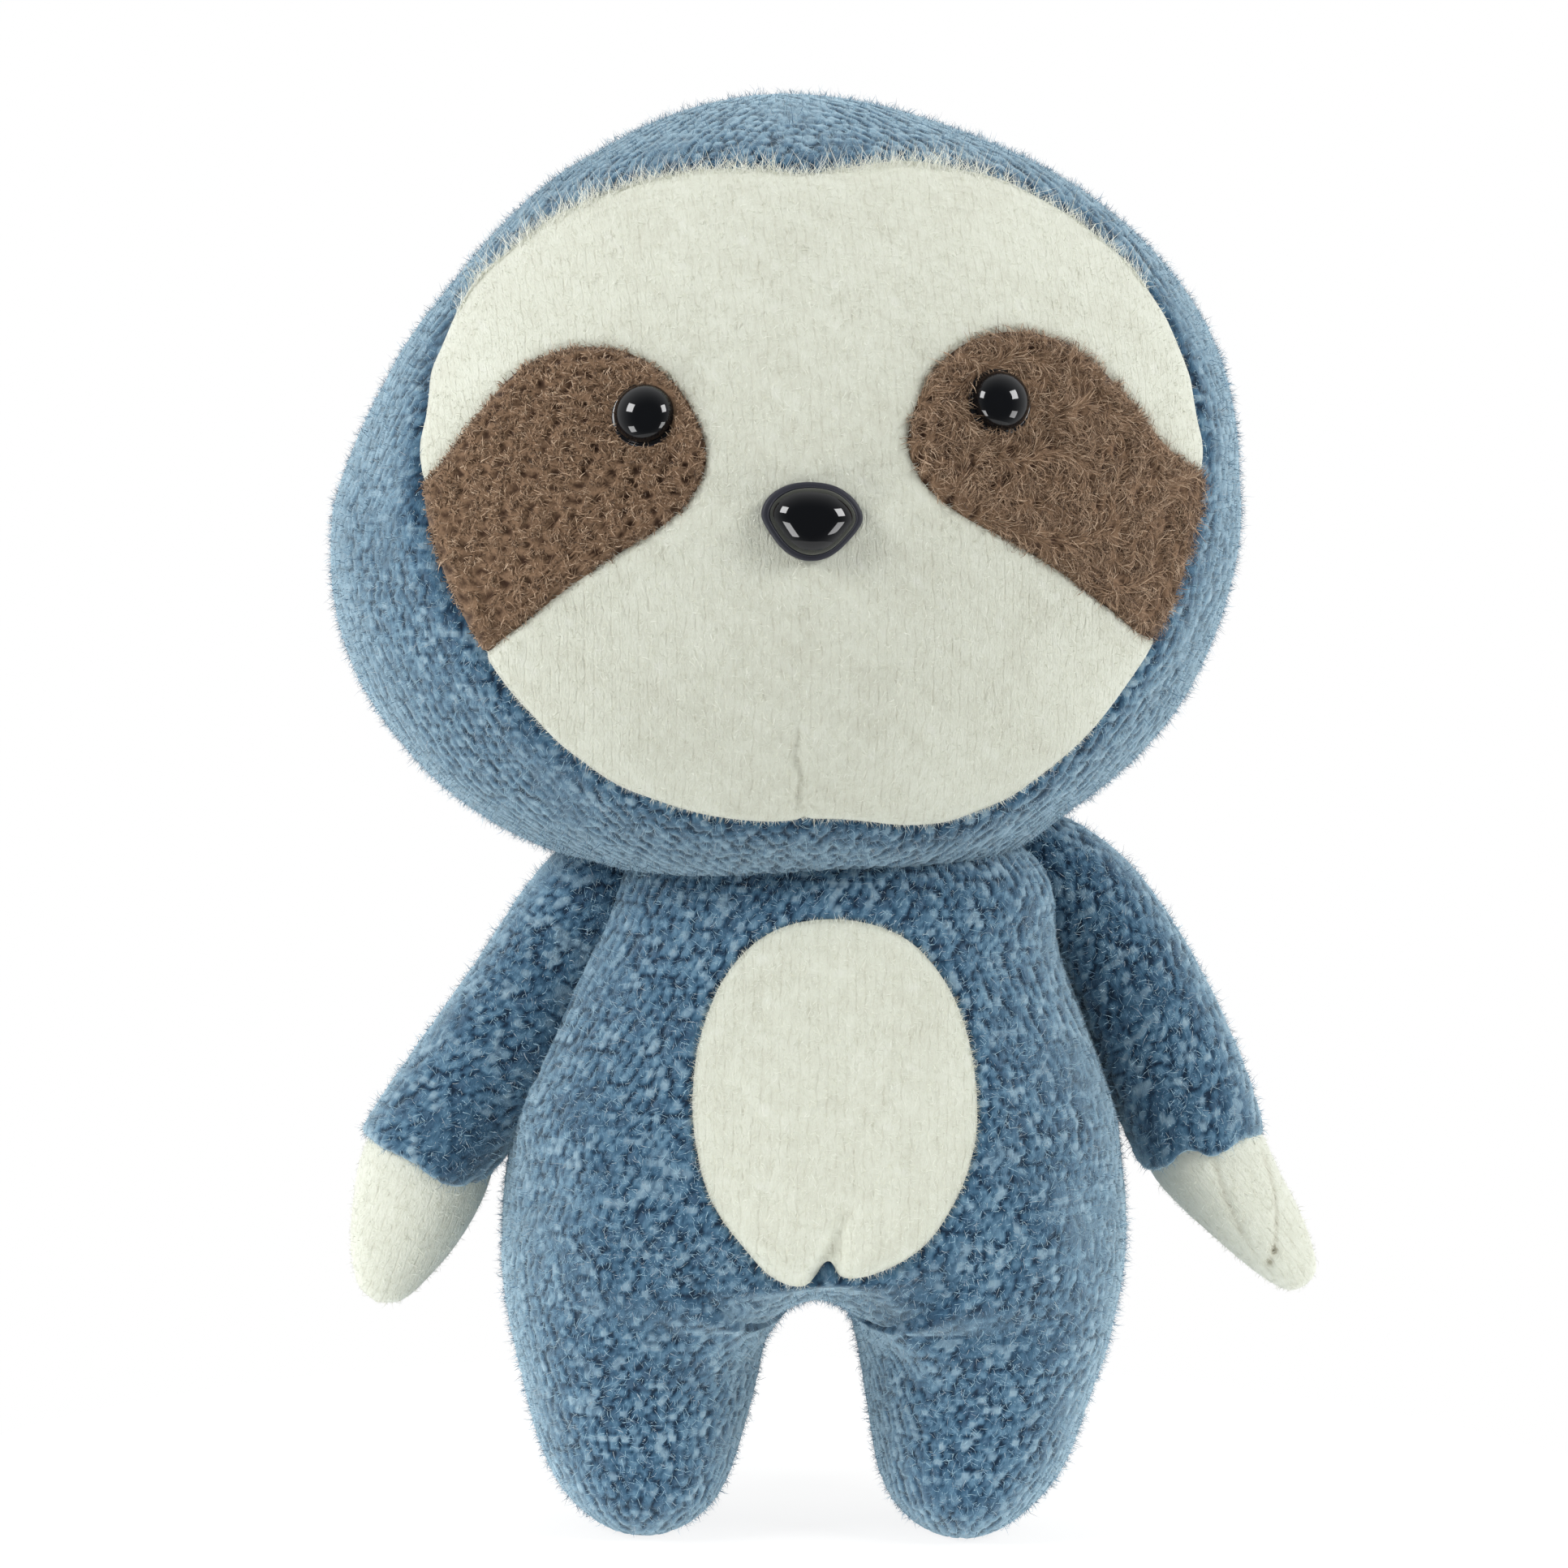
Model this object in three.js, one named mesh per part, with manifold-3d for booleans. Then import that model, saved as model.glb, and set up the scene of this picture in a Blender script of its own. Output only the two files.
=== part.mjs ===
// Plush sloth: a knitted toy with a hood, an inset face, a belly panel, sewn arms and short legs.
// Millimetres, +Z up. The toy faces -Y and stands on its feet at z = 0, under the middle of its body.

import * as THREE from 'three';
import { mergeVertices } from 'three/addons/utils/BufferGeometryUtils.js';
import Module from 'manifold-3d';

const wasm = await Module();
wasm.setup();

// Fabric and clearances
const skin = 2;              // knitted fabric with its backing and seam allowance
const gap = 0.3;             // clearance between pieces that touch
const overrun = 15;          // how far a cutting solid reaches past what it cuts

// Fineness of the surfaces
const outlineSteps = 32;     // points round a panel's outline
const smallSegments = 16;    // sides of shanks, washers, eyes and nose
const domeSteps = 5;
const ballColumns = 16;
const ballRows = 10;
const hipSteps = 8;
const searchSteps = 400;     // trials up the torso's side for the shoulder
const sweepSteps = 6;        // places of an arm's swing that its top is cut clear for
const probeShare = 0.01;     // step either side of a place, for the slope there

// Head, measured from the neck point; the front is flatter than the back of the hood
const headHalfWidth = 71.8;
const headFrontDepth = 52;
const headBackDepth = 58.5;
const headHeight = 125.5;
const headSink = 1.5;        // underside of the head below the neck point
const headShift = 3.3;       // sideways set of the head on the neck
const headTilt = 3.3;        // degrees, towards the toy's right
const headTurn = 3.5;        // degrees, towards the toy's left
const headLeanShare = 0.06;  // fuller crown on the toy's left
const headFullnessShares = [1.22, 1.10, 1.035, 0.985, 0.93, 0.80];
const headRows = 18;
const headColumns = 28;
const headLiningRows = 10;
const headLiningColumns = 18;
const frontCutShare = 0.1;   // panel cuts reach back to this share of the front's depth

// Neck
const neckHeight = 105;
const neckRadius = 12;
const neckTurnLimit = 20;    // degrees each way
const nodDownLimit = 10;
const nodUpLimit = 8;

// Face window in the hood, as shares of its half width and its height
const faceHalfWidth = 60.5;
const faceHeight = 101;
const faceFoot = 11;         // lowest point of the window above the neck point
const faceShares = [
  [0, 0.015], [0.24, 0], [0.47, 0.04], [0.70, 0.14], [0.86, 0.27], [0.955, 0.39],
  [1, 0.50], [0.99, 0.63], [0.95, 0.72], [0.85, 0.83], [0.67, 0.925], [0.45, 0.98],
  [0.26, 1], [0.12, 0.99], [0, 0.975],
];

// Eye patches, as shares of their length across and their height, from the inner edge
const patchInset = 15.2;     // inner edge of a patch from the middle of the face
const patchLength = 50;
const patchHeight = 48;
const patchFoot = 37.5;      // lowest point of a patch above the neck point
const patchShares = [
  [0, 0.66], [0.03, 0.78], [0.10, 0.90], [0.22, 0.98], [0.36, 1], [0.52, 0.95],
  [0.68, 0.80], [0.82, 0.62], [1, 0.44], [1, 0.12], [0.76, 0.0], [0.62, 0.10],
  [0.46, 0.23], [0.30, 0.34], [0.14, 0.44], [0.04, 0.54],
];

// Eyes and nose, in plastic with a round shank and a push-on washer
const eyeRadius = 5;
const eyeDome = 3.6;
const eyeRim = 0.9;          // height of the flat rim under the dome
const eyeSpacing = 26.8;     // from the middle of the face
const eyeHeight = 75;        // above the neck point
const noseHalfWidth = 8;
const noseHeight = 12.4;
const noseDome = 4.6;
const noseRim = 1;
const noseLevel = 58.3;
const noseShift = 2;         // sideways set of the nose, towards the toy's right
const noseShares = [
  [0, 1], [0.55, 0.97], [0.93, 0.80], [0.98, 0.58], [0.74, 0.28], [0.38, 0.06],
  [0, 0], [-0.38, 0.06], [-0.74, 0.28], [-0.98, 0.58], [-0.93, 0.80], [-0.55, 0.97],
];
const noseRimShares = [[0, 0], [1, 0], [1, 1], [0.9, 1]];
const noseDomeShares = [[0.8, 0.5], [0.6, 0.76], [0.32, 0.94], [0, 1]];
const shankRadius = 1.3;
const shankLength = 9;
const washerRadius = 5.5;
const washerThickness = 1.2;
const washerSeat = 2.6;      // how far the washer sits behind the lining

// Torso, an upright pear with an oval section
const torsoHalfWidth = 50.4;
const torsoFrontDepth = 33.5;
const torsoBackDepth = 33;
const torsoFoot = 34;
const torsoHeight = 78;
const torsoShares = [
  [0, 0, 0], [0.52, 0.45, 0.004], [0.83, 0.72, 0.03], [0.965, 0.88, 0.085], [1, 0.96, 0.16],
  [1, 1, 0.25], [0.975, 1.01, 0.345], [0.935, 1, 0.43], [0.825, 0.93, 0.635], [0.735, 0.83, 0.79],
  [0.665, 0.73, 0.91], [0.50, 0.53, 0.985], [0, 0, 1],
];
const torsoRows = 16;
const torsoColumns = 26;
const torsoLiningRows = 9;
const torsoLiningColumns = 16;

// Belly panel, as shares of its half width and its height
const bellyHalfWidth = 22;
const bellyHeight = 55.5;
const bellyFoot = 45;
const bellyShares = [
  [0, 0.05], [0.22, 0], [0.45, 0.035], [0.72, 0.13], [0.92, 0.29], [1, 0.49], [0.93, 0.68],
  [0.75, 0.84], [0.45, 0.96], [0, 1],
];

// Legs, each an oval column that swells towards the hip; sole and widths as shares of their sizes
const legHeight = 57;
const legHalfWidth = 21.4;
const legHalfDepth = 27.5;
const legOffset = 28;        // leg's middle from the toy's middle
const footTurnIn = 2.4;      // how far the sole sits nearer the middle than the hip
const soleCut = 0.5;         // depth of the flat the toy stands on
const legShares = [
  [0, 0, 0], [0.30, 0.40, 0.010], [0.50, 0.57, 0.05], [0.66, 0.66, 0.125], [0.745, 0.69, 0.21],
  [0.865, 0.745, 0.41], [0.97, 0.86, 0.61], [1, 0.97, 0.80], [0.93, 0.96, 0.94], [0, 0, 1],
];
const legRows = 12;
const legColumns = 16;
const legLiningRows = 7;
const legLiningColumns = 12;

// Hip fold
const hipHeight = 39;
const hipForward = 9;        // fold line in front of the body's middle
const hipRadius = 16.5;
const hipInner = 6.3;        // inner face of the leg's root from the middle
const hipBackDrop = 6;       // how far the root falls towards the seat
const hipFoldLimit = 65;     // degrees forward

// Arms: oval sleeves that hang down and out, with a mitten hand in each cuff
const armHalfWidth = 8.8;
const armHalfDepth = 9.5;
const armLength = 59;        // rounded shoulder to cuff
const cuffFlareWidth = 1.6;
const armTop = 112;
const armOffset = 34.2;      // the sleeve's middle at its top
const armSplays = { left: 30.5, right: 28 };
const armSwingBack = 35;     // degrees
const armSwingForward = 100;
const armRaiseLimit = 28;
const armRows = 9;
const armColumns = 14;
const armLiningRows = 6;
const armLiningColumns = 10;
const sleeveShares = [
  [0, 0], [0.60, 0.03], [0.90, 0.10], [1, 0.22], [1, 0.6], [1, 0.94], [0.93, 1], [0, 1],
];

// Hands
const handHalfWidth = 9.4;
const handHalfDepth = 7;
const handLength = 35;
const handTuckLength = 9;          // length held inside the cuff
const handSplays = { left: 31.5, right: 17 };
const handShares = [
  [0, 0], [0.72, 0.01], [0.80, 0.08], [0.96, 0.22], [1, 0.40], [0.86, 0.62], [0.62, 0.82],
  [0.36, 0.95], [0, 1],
];
const handRows = 8;
const handColumns = 12;
const handLiningRows = 5;
const handLiningColumns = 8;

// Shoulder seams, thin oval pads between sleeve and torso
const shoulderHeight = 95.5;
const seamThickness = 1.4;
const seamHalfHeight = 10;
const seamHalfDepth = 6.5;
const seamSegments = 18;

const degrees = Math.PI / 180;
const up = new THREE.Vector3(0, 0, 1);
const across = new THREE.Vector3(1, 0, 0);
const fore = new THREE.Vector3(0, 1, 0);
const neckPoint = new THREE.Vector3(0, 0, neckHeight);

// A closed mesh becomes a solid once only its positions are left
function solidOf(geometry) {
  const plain = geometry.clone();
  plain.deleteAttribute('normal');
  plain.deleteAttribute('uv');
  const merged = mergeVertices(plain);
  const vertProperties = new Float32Array(merged.attributes.position.array);
  const triVerts = new Uint32Array(merged.index.array);
  return new wasm.Manifold(new wasm.Mesh({ numProp: 3, vertProperties, triVerts }));
}

function geometryOf(solid) {
  const mesh = solid.getMesh();
  const geometry = new THREE.BufferGeometry();
  geometry.setAttribute('position', new THREE.BufferAttribute(new Float32Array(mesh.vertProperties), 3));
  geometry.setIndex(new THREE.BufferAttribute(new Uint32Array(mesh.triVerts), 1));
  const faceted = geometry.toNonIndexed();
  faceted.computeVertexNormals();
  return faceted;
}

// A closed form with a point at each end: pointAt(height share from foot to top, angle round it)
function closedForm(rows, columns, pointAt) {
  const positions = [];
  const indices = [];
  const foot = pointAt(0, 0);
  positions.push(foot.x, foot.y, foot.z);
  for (let row = 1; row < rows; row += 1) {
    for (let column = 0; column < columns; column += 1) {
      const point = pointAt(row / rows, (column / columns) * 2 * Math.PI);
      positions.push(point.x, point.y, point.z);
    }
  }
  const top = pointAt(1, 0);
  positions.push(top.x, top.y, top.z);
  const last = positions.length / 3 - 1;
  const at = (row, column) => 1 + (row - 1) * columns + (column % columns);
  for (let column = 0; column < columns; column += 1) {
    indices.push(0, at(1, column + 1), at(1, column));
    indices.push(last, at(rows - 1, column), at(rows - 1, column + 1));
    for (let row = 1; row < rows - 1; row += 1) {
      indices.push(at(row, column), at(row, column + 1), at(row + 1, column + 1));
      indices.push(at(row, column), at(row + 1, column + 1), at(row + 1, column));
    }
  }
  const geometry = new THREE.BufferGeometry();
  geometry.setAttribute('position', new THREE.Float32BufferAttribute(positions, 3));
  geometry.setIndex(indices);
  return solidOf(geometry);
}

// Smooth profile through rows of shares: widths, then the height share last
function profileThrough(shares) {
  const points = shares.map((row) => new THREE.Vector3(row[0], row[row.length - 2], row[row.length - 1]));
  const curve = new THREE.CatmullRomCurve3(points, false, 'centripetal');
  return (share) => curve.getPoint(share);
}

// A flat outline in the face plane (x across, z up), pushed along Y from near to far
function frontPrism(points, nearY, farY) {
  const shape = new THREE.Shape(points);
  const prism = new THREE.ExtrudeGeometry(shape, { depth: farY - nearY, bevelEnabled: false, steps: 1 });
  prism.rotateX(Math.PI / 2);
  prism.translate(0, farY, 0);
  return solidOf(prism);
}

// A closed smooth outline through the given points
function smoothOutline(points, count) {
  const loop = points.map((p) => new THREE.Vector3(p.x, p.y, 0));
  const curve = new THREE.CatmullRomCurve3(loop, true, 'centripetal');
  return curve.getSpacedPoints(count).slice(0, count).map((p) => new THREE.Vector2(p.x, p.y));
}

// Moves each point of an anticlockwise outline inwards (a negative distance moves it out)
function insetOutline(points, distance) {
  return points.map((point, index) => {
    const before = points[(index + points.length - 1) % points.length];
    const after = points[(index + 1) % points.length];
    const along = after.clone().sub(before).normalize();
    return new THREE.Vector2(point.x - along.y * distance, point.y + along.x * distance);
  });
}

// Half an outline as shares, mirrored to the whole; runs anticlockwise from its foot
function mirroredOutline(shares, halfWidth, height, foot) {
  const right = shares.map(([x, z]) => new THREE.Vector2(x * halfWidth, foot + z * height));
  const left = right.slice(1, -1).reverse().map((p) => new THREE.Vector2(-p.x, p.y));
  return [...right, ...left];
}

function matrixAbout(point, axis, angle) {
  const there = new THREE.Matrix4().makeTranslation(point.x, point.y, point.z);
  const turn = new THREE.Matrix4().makeRotationAxis(axis, angle);
  const back = new THREE.Matrix4().makeTranslation(-point.x, -point.y, -point.z);
  return there.multiply(turn).multiply(back);
}

function moved(solid, matrix) {
  return solid.transform(Array.from(matrix.elements));
}

function joined(solids) {
  return solids.reduce((whole, solid) => whole.add(solid));
}

// The one body that a cut leaves, without the crumbs at its edges
function mainBody(solid) {
  const bodies = solid.decompose();
  return bodies.reduce((most, body) => (body.volume() > most.volume() ? body : most));
}

// The frame that carries the head's own places into the toy
const headFrame = new THREE.Matrix4()
  .makeTranslation(-headShift, 0, neckHeight)
  .multiply(new THREE.Matrix4().makeRotationZ(headTurn * degrees))
  .multiply(new THREE.Matrix4().makeRotationY(-headTilt * degrees));

// Head: height share goes from underside to crown; the fullness shares widen the cheeks
function fullness(share) {
  const place = share * (headFullnessShares.length - 1);
  const index = Math.min(Math.floor(place), headFullnessShares.length - 2);
  return THREE.MathUtils.lerp(headFullnessShares[index], headFullnessShares[index + 1], place - index);
}

function headPoint(inset) {
  return (share, angle) => {
    const polar = share * Math.PI;
    const lean = share > 0.5 ? headLeanShare * Math.sin(angle) * Math.sin(2 * (polar - Math.PI / 2)) : 0;
    const ring = Math.sin(polar) * fullness(share) * (1 + lean);
    const depth = Math.cos(angle) > 0 ? headFrontDepth : headBackDepth;
    return new THREE.Vector3(
      (headHalfWidth - inset) * ring * Math.sin(angle),
      -(depth - inset) * ring * Math.cos(angle),
      inset - headSink + (headHeight - 2 * inset) * (1 - Math.cos(polar)) / 2,
    );
  };
}

// Torso, with an oval section between the front and back depths
const torsoProfile = profileThrough(torsoShares);

function torsoPoint(inset) {
  return (share, angle) => {
    const { x: wide, y: deep, z: high } = torsoProfile(share);
    const depth = Math.cos(angle) > 0 ? torsoFrontDepth : torsoBackDepth;
    return new THREE.Vector3(
      (torsoHalfWidth - inset) * wide * Math.sin(angle),
      -(depth - inset) * deep * Math.cos(angle),
      torsoFoot + inset + (torsoHeight - 2 * inset) * high,
    );
  };
}

// Leg: side is +1 for the toy's left (+X) and -1 for its right
const legProfile = profileThrough(legShares);

function legPoint(inset, side) {
  return (share, angle) => {
    const { x: wide, y: deep, z: high } = legProfile(share);
    const middle = legOffset - footTurnIn * (1 - high);
    return new THREE.Vector3(
      side * middle + (legHalfWidth - inset) * wide * Math.sin(angle),
      -(legHalfDepth - inset) * deep * Math.cos(angle),
      inset - soleCut + (legHeight - 2 * inset) * high,
    );
  };
}

// Sleeve and hand hang along their own line in the front plane
const sleeveProfile = profileThrough(sleeveShares.map(([wide, along]) => [wide, wide, along]));
const handProfile = profileThrough(handShares.map(([wide, along]) => [wide, wide, along]));

function hangingPoint(start, splay, side, halfWidth, halfDepth, length, profile, flare, inset) {
  const down = hangingLine(splay, side);
  const out = new THREE.Vector3(side * Math.cos(splay), 0, Math.sin(splay));
  return (share, angle) => {
    const { x: wide, z: along } = profile(1 - share);
    const width = (halfWidth - inset + flare * along) * wide * Math.sin(angle) * side;
    const depth = -(halfDepth - inset) * wide * Math.cos(angle);
    return start.clone()
      .addScaledVector(down, inset + (length - 2 * inset) * along)
      .addScaledVector(out, width)
      .addScaledVector(fore, depth);
  };
}

// A block across X made of an outline in the side plane (y, z)
function sideBlock(outline, nearX, farX) {
  const shape = new THREE.Shape(outline);
  const block = new THREE.ExtrudeGeometry(shape, { depth: farX - nearX, bevelEnabled: false, steps: 1 });
  const turn = new THREE.Matrix4().makeBasis(fore, up, across);
  block.applyMatrix4(turn);
  block.translate(nearX, 0, 0);
  return solidOf(block);
}

// The leg's root rolls under the torso on an arc round the fold line
function hipArc(radius, fromAngle) {
  const points = [];
  for (let step = 0; step <= hipSteps; step += 1) {
    const angle = THREE.MathUtils.lerp(fromAngle, Math.PI / 2, step / hipSteps);
    const forward = hipForward + radius * Math.cos(angle);
    points.push(new THREE.Vector2(-forward, hipHeight + radius * Math.sin(angle)));
  }
  return points;
}

function legRoom(side) {
  const seat = torsoBackDepth + overrun;
  const outline = [
    new THREE.Vector2(-hipForward - hipRadius, -overrun),
    ...hipArc(hipRadius, 0),
    new THREE.Vector2(seat, hipHeight + hipRadius - hipBackDrop),
    new THREE.Vector2(seat, -overrun),
  ].reverse();
  const outer = torsoHalfWidth + overrun;
  return side > 0 ? sideBlock(outline, hipInner, outer) : sideBlock(outline, -outer, -hipInner);
}

// What the leg sweeps as it folds up to its limit, which the torso leaves free
function hipRecess(side) {
  const fold = hipFoldLimit * degrees;
  const radius = hipRadius + gap;
  const reach = torsoFrontDepth + overrun;
  const rootFront = -hipForward - radius * Math.cos(fold);
  const rootTop = hipHeight + radius * Math.sin(fold);
  const drop = (rootFront + reach) / Math.tan(fold);
  const seat = torsoBackDepth + overrun;
  const outline = [
    new THREE.Vector2(-reach, -overrun),
    new THREE.Vector2(-reach, rootTop - drop),
    ...hipArc(radius, fold),
    new THREE.Vector2(seat, hipHeight + radius - hipBackDrop),
    new THREE.Vector2(seat, -overrun),
  ].reverse();
  const inner = hipInner - gap;
  const outer = torsoHalfWidth + overrun;
  return side > 0 ? sideBlock(outline, inner, outer) : sideBlock(outline, -outer, -inner);
}

// Everything below the floor, which trims the soles flat
function belowFloor() {
  const halfWidth = torsoHalfWidth + overrun;
  const halfDepth = torsoFrontDepth + overrun;
  const slab = new THREE.BoxGeometry(2 * halfWidth, 2 * halfDepth, overrun);
  slab.translate(0, 0, -overrun / 2);
  return solidOf(slab);
}

// Head solids at every place the neck can bring them to, a clearance larger than the head
function headSweep() {
  const grown = closedForm(headRows, headColumns, headPoint(-gap));
  const places = [];
  for (const turn of [-neckTurnLimit, 0, neckTurnLimit]) {
    for (const nod of [-nodUpLimit, 0, nodDownLimit]) {
      const turned = matrixAbout(neckPoint, up, turn * degrees);
      const nodded = matrixAbout(neckPoint, across, nod * degrees);
      places.push(moved(grown, turned.multiply(nodded).multiply(headFrame)));
    }
  }
  return joined(places);
}

const materials = {
  blueKnit: { color: 0x56799a, roughness: 0.95, metalness: 0 },
  creamKnit: { color: 0xdfe2d5, roughness: 0.95, metalness: 0 },
  brownPile: { color: 0x6f5b49, roughness: 1, metalness: 0 },
  blackPlastic: { color: 0x0e1118, roughness: 0.08, metalness: 0 },
  whitePlastic: { color: 0xe6e6e2, roughness: 0.5, metalness: 0 },
  fibre: { color: 0xf4f4f0, roughness: 1, metalness: 0 },
};

const sloth = new THREE.Group();

// A solid in its group's own frame becomes a mesh there
function addPiece(group, name, solid, finish) {
  const mesh = new THREE.Mesh(geometryOf(mainBody(solid)), new THREE.MeshStandardMaterial(finish));
  mesh.name = name;
  group.add(mesh);
}

// The same for a solid that still stands in the toy's frame, where the group isn't turned
function addPlacedPiece(group, name, solid, finish) {
  const { x, y, z } = group.position;
  addPiece(group, name, solid.translate([-x, -y, -z]), finish);
}

function groupAt(point) {
  const group = new THREE.Group();
  group.position.copy(point);
  sloth.add(group);
  return group;
}

// Head, built in its own frame with the neck point at its origin
function headForm(inset, rows = headLiningRows, columns = headLiningColumns) {
  return closedForm(rows, columns, headPoint(inset));
}

function headFrontPrism(outline, inset) {
  const far = -headFrontDepth - overrun;
  return frontPrism(insetOutline(outline, inset), far, -headFrontDepth * frontCutShare);
}

function facePrism(inset) {
  const points = mirroredOutline(faceShares, faceHalfWidth, faceHeight, faceFoot);
  return headFrontPrism(smoothOutline(points, outlineSteps), inset);
}

function patchPrism(side, inset) {
  const points = patchShares.map(([x, z]) => new THREE.Vector2(
    side * (patchInset + x * patchLength), patchFoot + z * patchHeight));
  return headFrontPrism(smoothOutline(side < 0 ? points : points.reverse(), outlineSteps), inset);
}

// Frame on the front of the head at a place across and up: origin on the fabric, Y pointing out
function frontFrame(x, z) {
  const pointAt = headPoint(0);
  const share = Math.acos(1 - 2 * (z + headSink) / headHeight) / Math.PI;
  const ring = Math.sin(share * Math.PI) * fullness(share) * headHalfWidth;
  const angle = Math.asin(x / ring);
  const origin = pointAt(share, angle);
  const upward = pointAt(share + probeShare, angle).sub(pointAt(share - probeShare, angle));
  const sideways = pointAt(share, angle + probeShare).sub(pointAt(share, angle - probeShare));
  const out = new THREE.Vector3().crossVectors(sideways, upward).normalize();
  const right = new THREE.Vector3().crossVectors(out, up).normalize();
  const top = new THREE.Vector3().crossVectors(right, out);
  return new THREE.Matrix4().makeBasis(right, out, top).setPosition(origin);
}

// A round piece turned about its own Y axis, from a profile of radius and height
function turnedPiece(profile, frame) {
  const points = profile.map(([radius, height]) => new THREE.Vector2(radius, height));
  return moved(solidOf(new THREE.LatheGeometry(points, smallSegments)), frame);
}

function rod(radius, from, to, frame) {
  return turnedPiece([[0, from], [radius, from], [radius, to], [0, to]], frame);
}

function eyeSolid(frame) {
  const domeRadius = eyeRadius - eyeRim / 2;
  const profile = [
    [0, -shankLength], [shankRadius, -shankLength], [shankRadius, gap],
    [eyeRadius, gap], [eyeRadius, gap + eyeRim],
  ];
  for (let step = 0; step < domeSteps; step += 1) {
    const angle = (step / domeSteps) * Math.PI / 2;
    profile.push([domeRadius * Math.cos(angle), gap + eyeRim + eyeDome * Math.sin(angle)]);
  }
  profile.push([0, gap + eyeRim + eyeDome]);
  return turnedPiece(profile, frame);
}

function noseSolid(frame) {
  const outline = smoothOutline(noseShares.map(([x, z]) => new THREE.Vector2(
    x * noseHalfWidth, (z - 0.5) * noseHeight)).reverse(), smallSegments);
  const levels = [
    ...noseRimShares.map(([wide, high]) => [wide, gap + noseRim * high]),
    ...noseDomeShares.map(([wide, high]) => [wide, gap + noseRim + noseDome * high]),
  ];
  const cap = closedForm(levels.length - 1, smallSegments, (share, angle) => {
    const [wide, height] = levels[Math.round(share * (levels.length - 1))];
    const point = outline[Math.round((angle / (2 * Math.PI)) * smallSegments) % smallSegments];
    return new THREE.Vector3(point.x * wide, point.y * wide, height);
  });
  const facing = new THREE.Matrix4().makeBasis(across.clone().negate(), up, fore);
  const turned = frame.clone().multiply(facing);
  return moved(cap, turned).add(rod(shankRadius, -shankLength, 2 * gap, frame));
}

function washerSolid(frame) {
  const near = -skin - washerSeat;
  const far = near - washerThickness;
  const hole = shankRadius + gap / 2;
  const ring = [[hole, far], [washerRadius, far], [washerRadius, near], [hole, near], [hole, far]];
  return turnedPiece(ring, frame);
}

// A faceted ball's flats lie nearer its middle than its corners, so its socket is made wider by that
function neckSocket() {
  const flatShare = Math.cos(Math.PI / ballColumns) * Math.cos(Math.PI / (2 * ballRows));
  return neckBall((neckRadius + gap) / flatShare - neckRadius);
}

function neckBall(growth) {
  return solidOf(new THREE.SphereGeometry(neckRadius + growth, ballColumns, ballRows));
}

const eyeFrames = { left: frontFrame(eyeSpacing, eyeHeight), right: frontFrame(-eyeSpacing, eyeHeight) };
const noseFrame = frontFrame(-noseShift, noseLevel);
const sides = { left: 1, right: -1 };

function shankHole(frame) {
  return rod(shankRadius + gap, -shankLength, overrun, frame);
}

function washerPocket(frame) {
  return rod(washerRadius + gap, -shankLength - gap, 0, frame);
}

function makeHead() {
  const group = groupAt(new THREE.Vector3(-headShift, 0, neckHeight));
  group.rotation.setFromRotationMatrix(headFrame);
  const socket = neckSocket().translate([headShift, 0, 0]);
  const fabric = headForm(0, headRows, headColumns).subtract(headForm(skin)).subtract(socket);
  const inFace = fabric.intersect(facePrism(gap / 2));
  addPiece(group, 'head_cover', fabric.subtract(facePrism(-gap / 2)), materials.blueKnit);
  let face = inFace.subtract(shankHole(noseFrame));
  for (const [name, side] of Object.entries(sides)) {
    face = face.subtract(patchPrism(side, -gap / 2));
    const patch = inFace.intersect(patchPrism(side, gap / 2)).subtract(shankHole(eyeFrames[name]));
    addPiece(group, `eye_patch_${name}`, patch, materials.brownPile);
    addPiece(group, `eye_${name}`, eyeSolid(eyeFrames[name]), materials.blackPlastic);
    addPiece(group, `eye_washer_${name}`, washerSolid(eyeFrames[name]), materials.whitePlastic);
  }
  addPiece(group, 'face_panel', face, materials.creamKnit);
  addPiece(group, 'nose', noseSolid(noseFrame), materials.blackPlastic);
  addPiece(group, 'nose_washer', washerSolid(noseFrame), materials.whitePlastic);
  const pockets = joined([noseFrame, eyeFrames.left, eyeFrames.right].map(washerPocket));
  const filling = headForm(skin + gap).subtract(socket).subtract(pockets);
  addPiece(group, 'head_stuffing', filling, materials.fibre);
}

// Torso and neck
function torsoForm(inset) {
  const fine = inset <= 0;
  return fine
    ? closedForm(torsoRows, torsoColumns, torsoPoint(inset))
    : closedForm(torsoLiningRows, torsoLiningColumns, torsoPoint(inset));
}

function bellyPrism(inset) {
  const points = mirroredOutline(bellyShares, bellyHalfWidth, bellyHeight, bellyFoot);
  const outline = insetOutline(smoothOutline(points, outlineSteps), inset);
  return frontPrism(outline, -torsoFrontDepth - overrun, 0);
}

function makeTorso(sweptHead) {
  const group = groupAt(new THREE.Vector3());
  const ball = neckSocket().translate([0, 0, neckHeight]);
  const free = joined([sweptHead, ball, hipRecess(1), hipRecess(-1)]);
  const fabric = torsoForm(0).subtract(torsoForm(skin)).subtract(free);
  addPlacedPiece(group, 'body_cover', fabric.subtract(bellyPrism(-gap / 2)), materials.blueKnit);
  addPlacedPiece(group, 'belly_panel', fabric.intersect(bellyPrism(gap / 2)), materials.creamKnit);
  addPlacedPiece(group, 'body_stuffing', torsoForm(skin + gap).subtract(free), materials.fibre);
  const neck = groupAt(neckPoint);
  addPlacedPiece(neck, 'neck_stuffing', neckBall(0).translate([0, 0, neckHeight]), materials.fibre);
}

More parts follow.
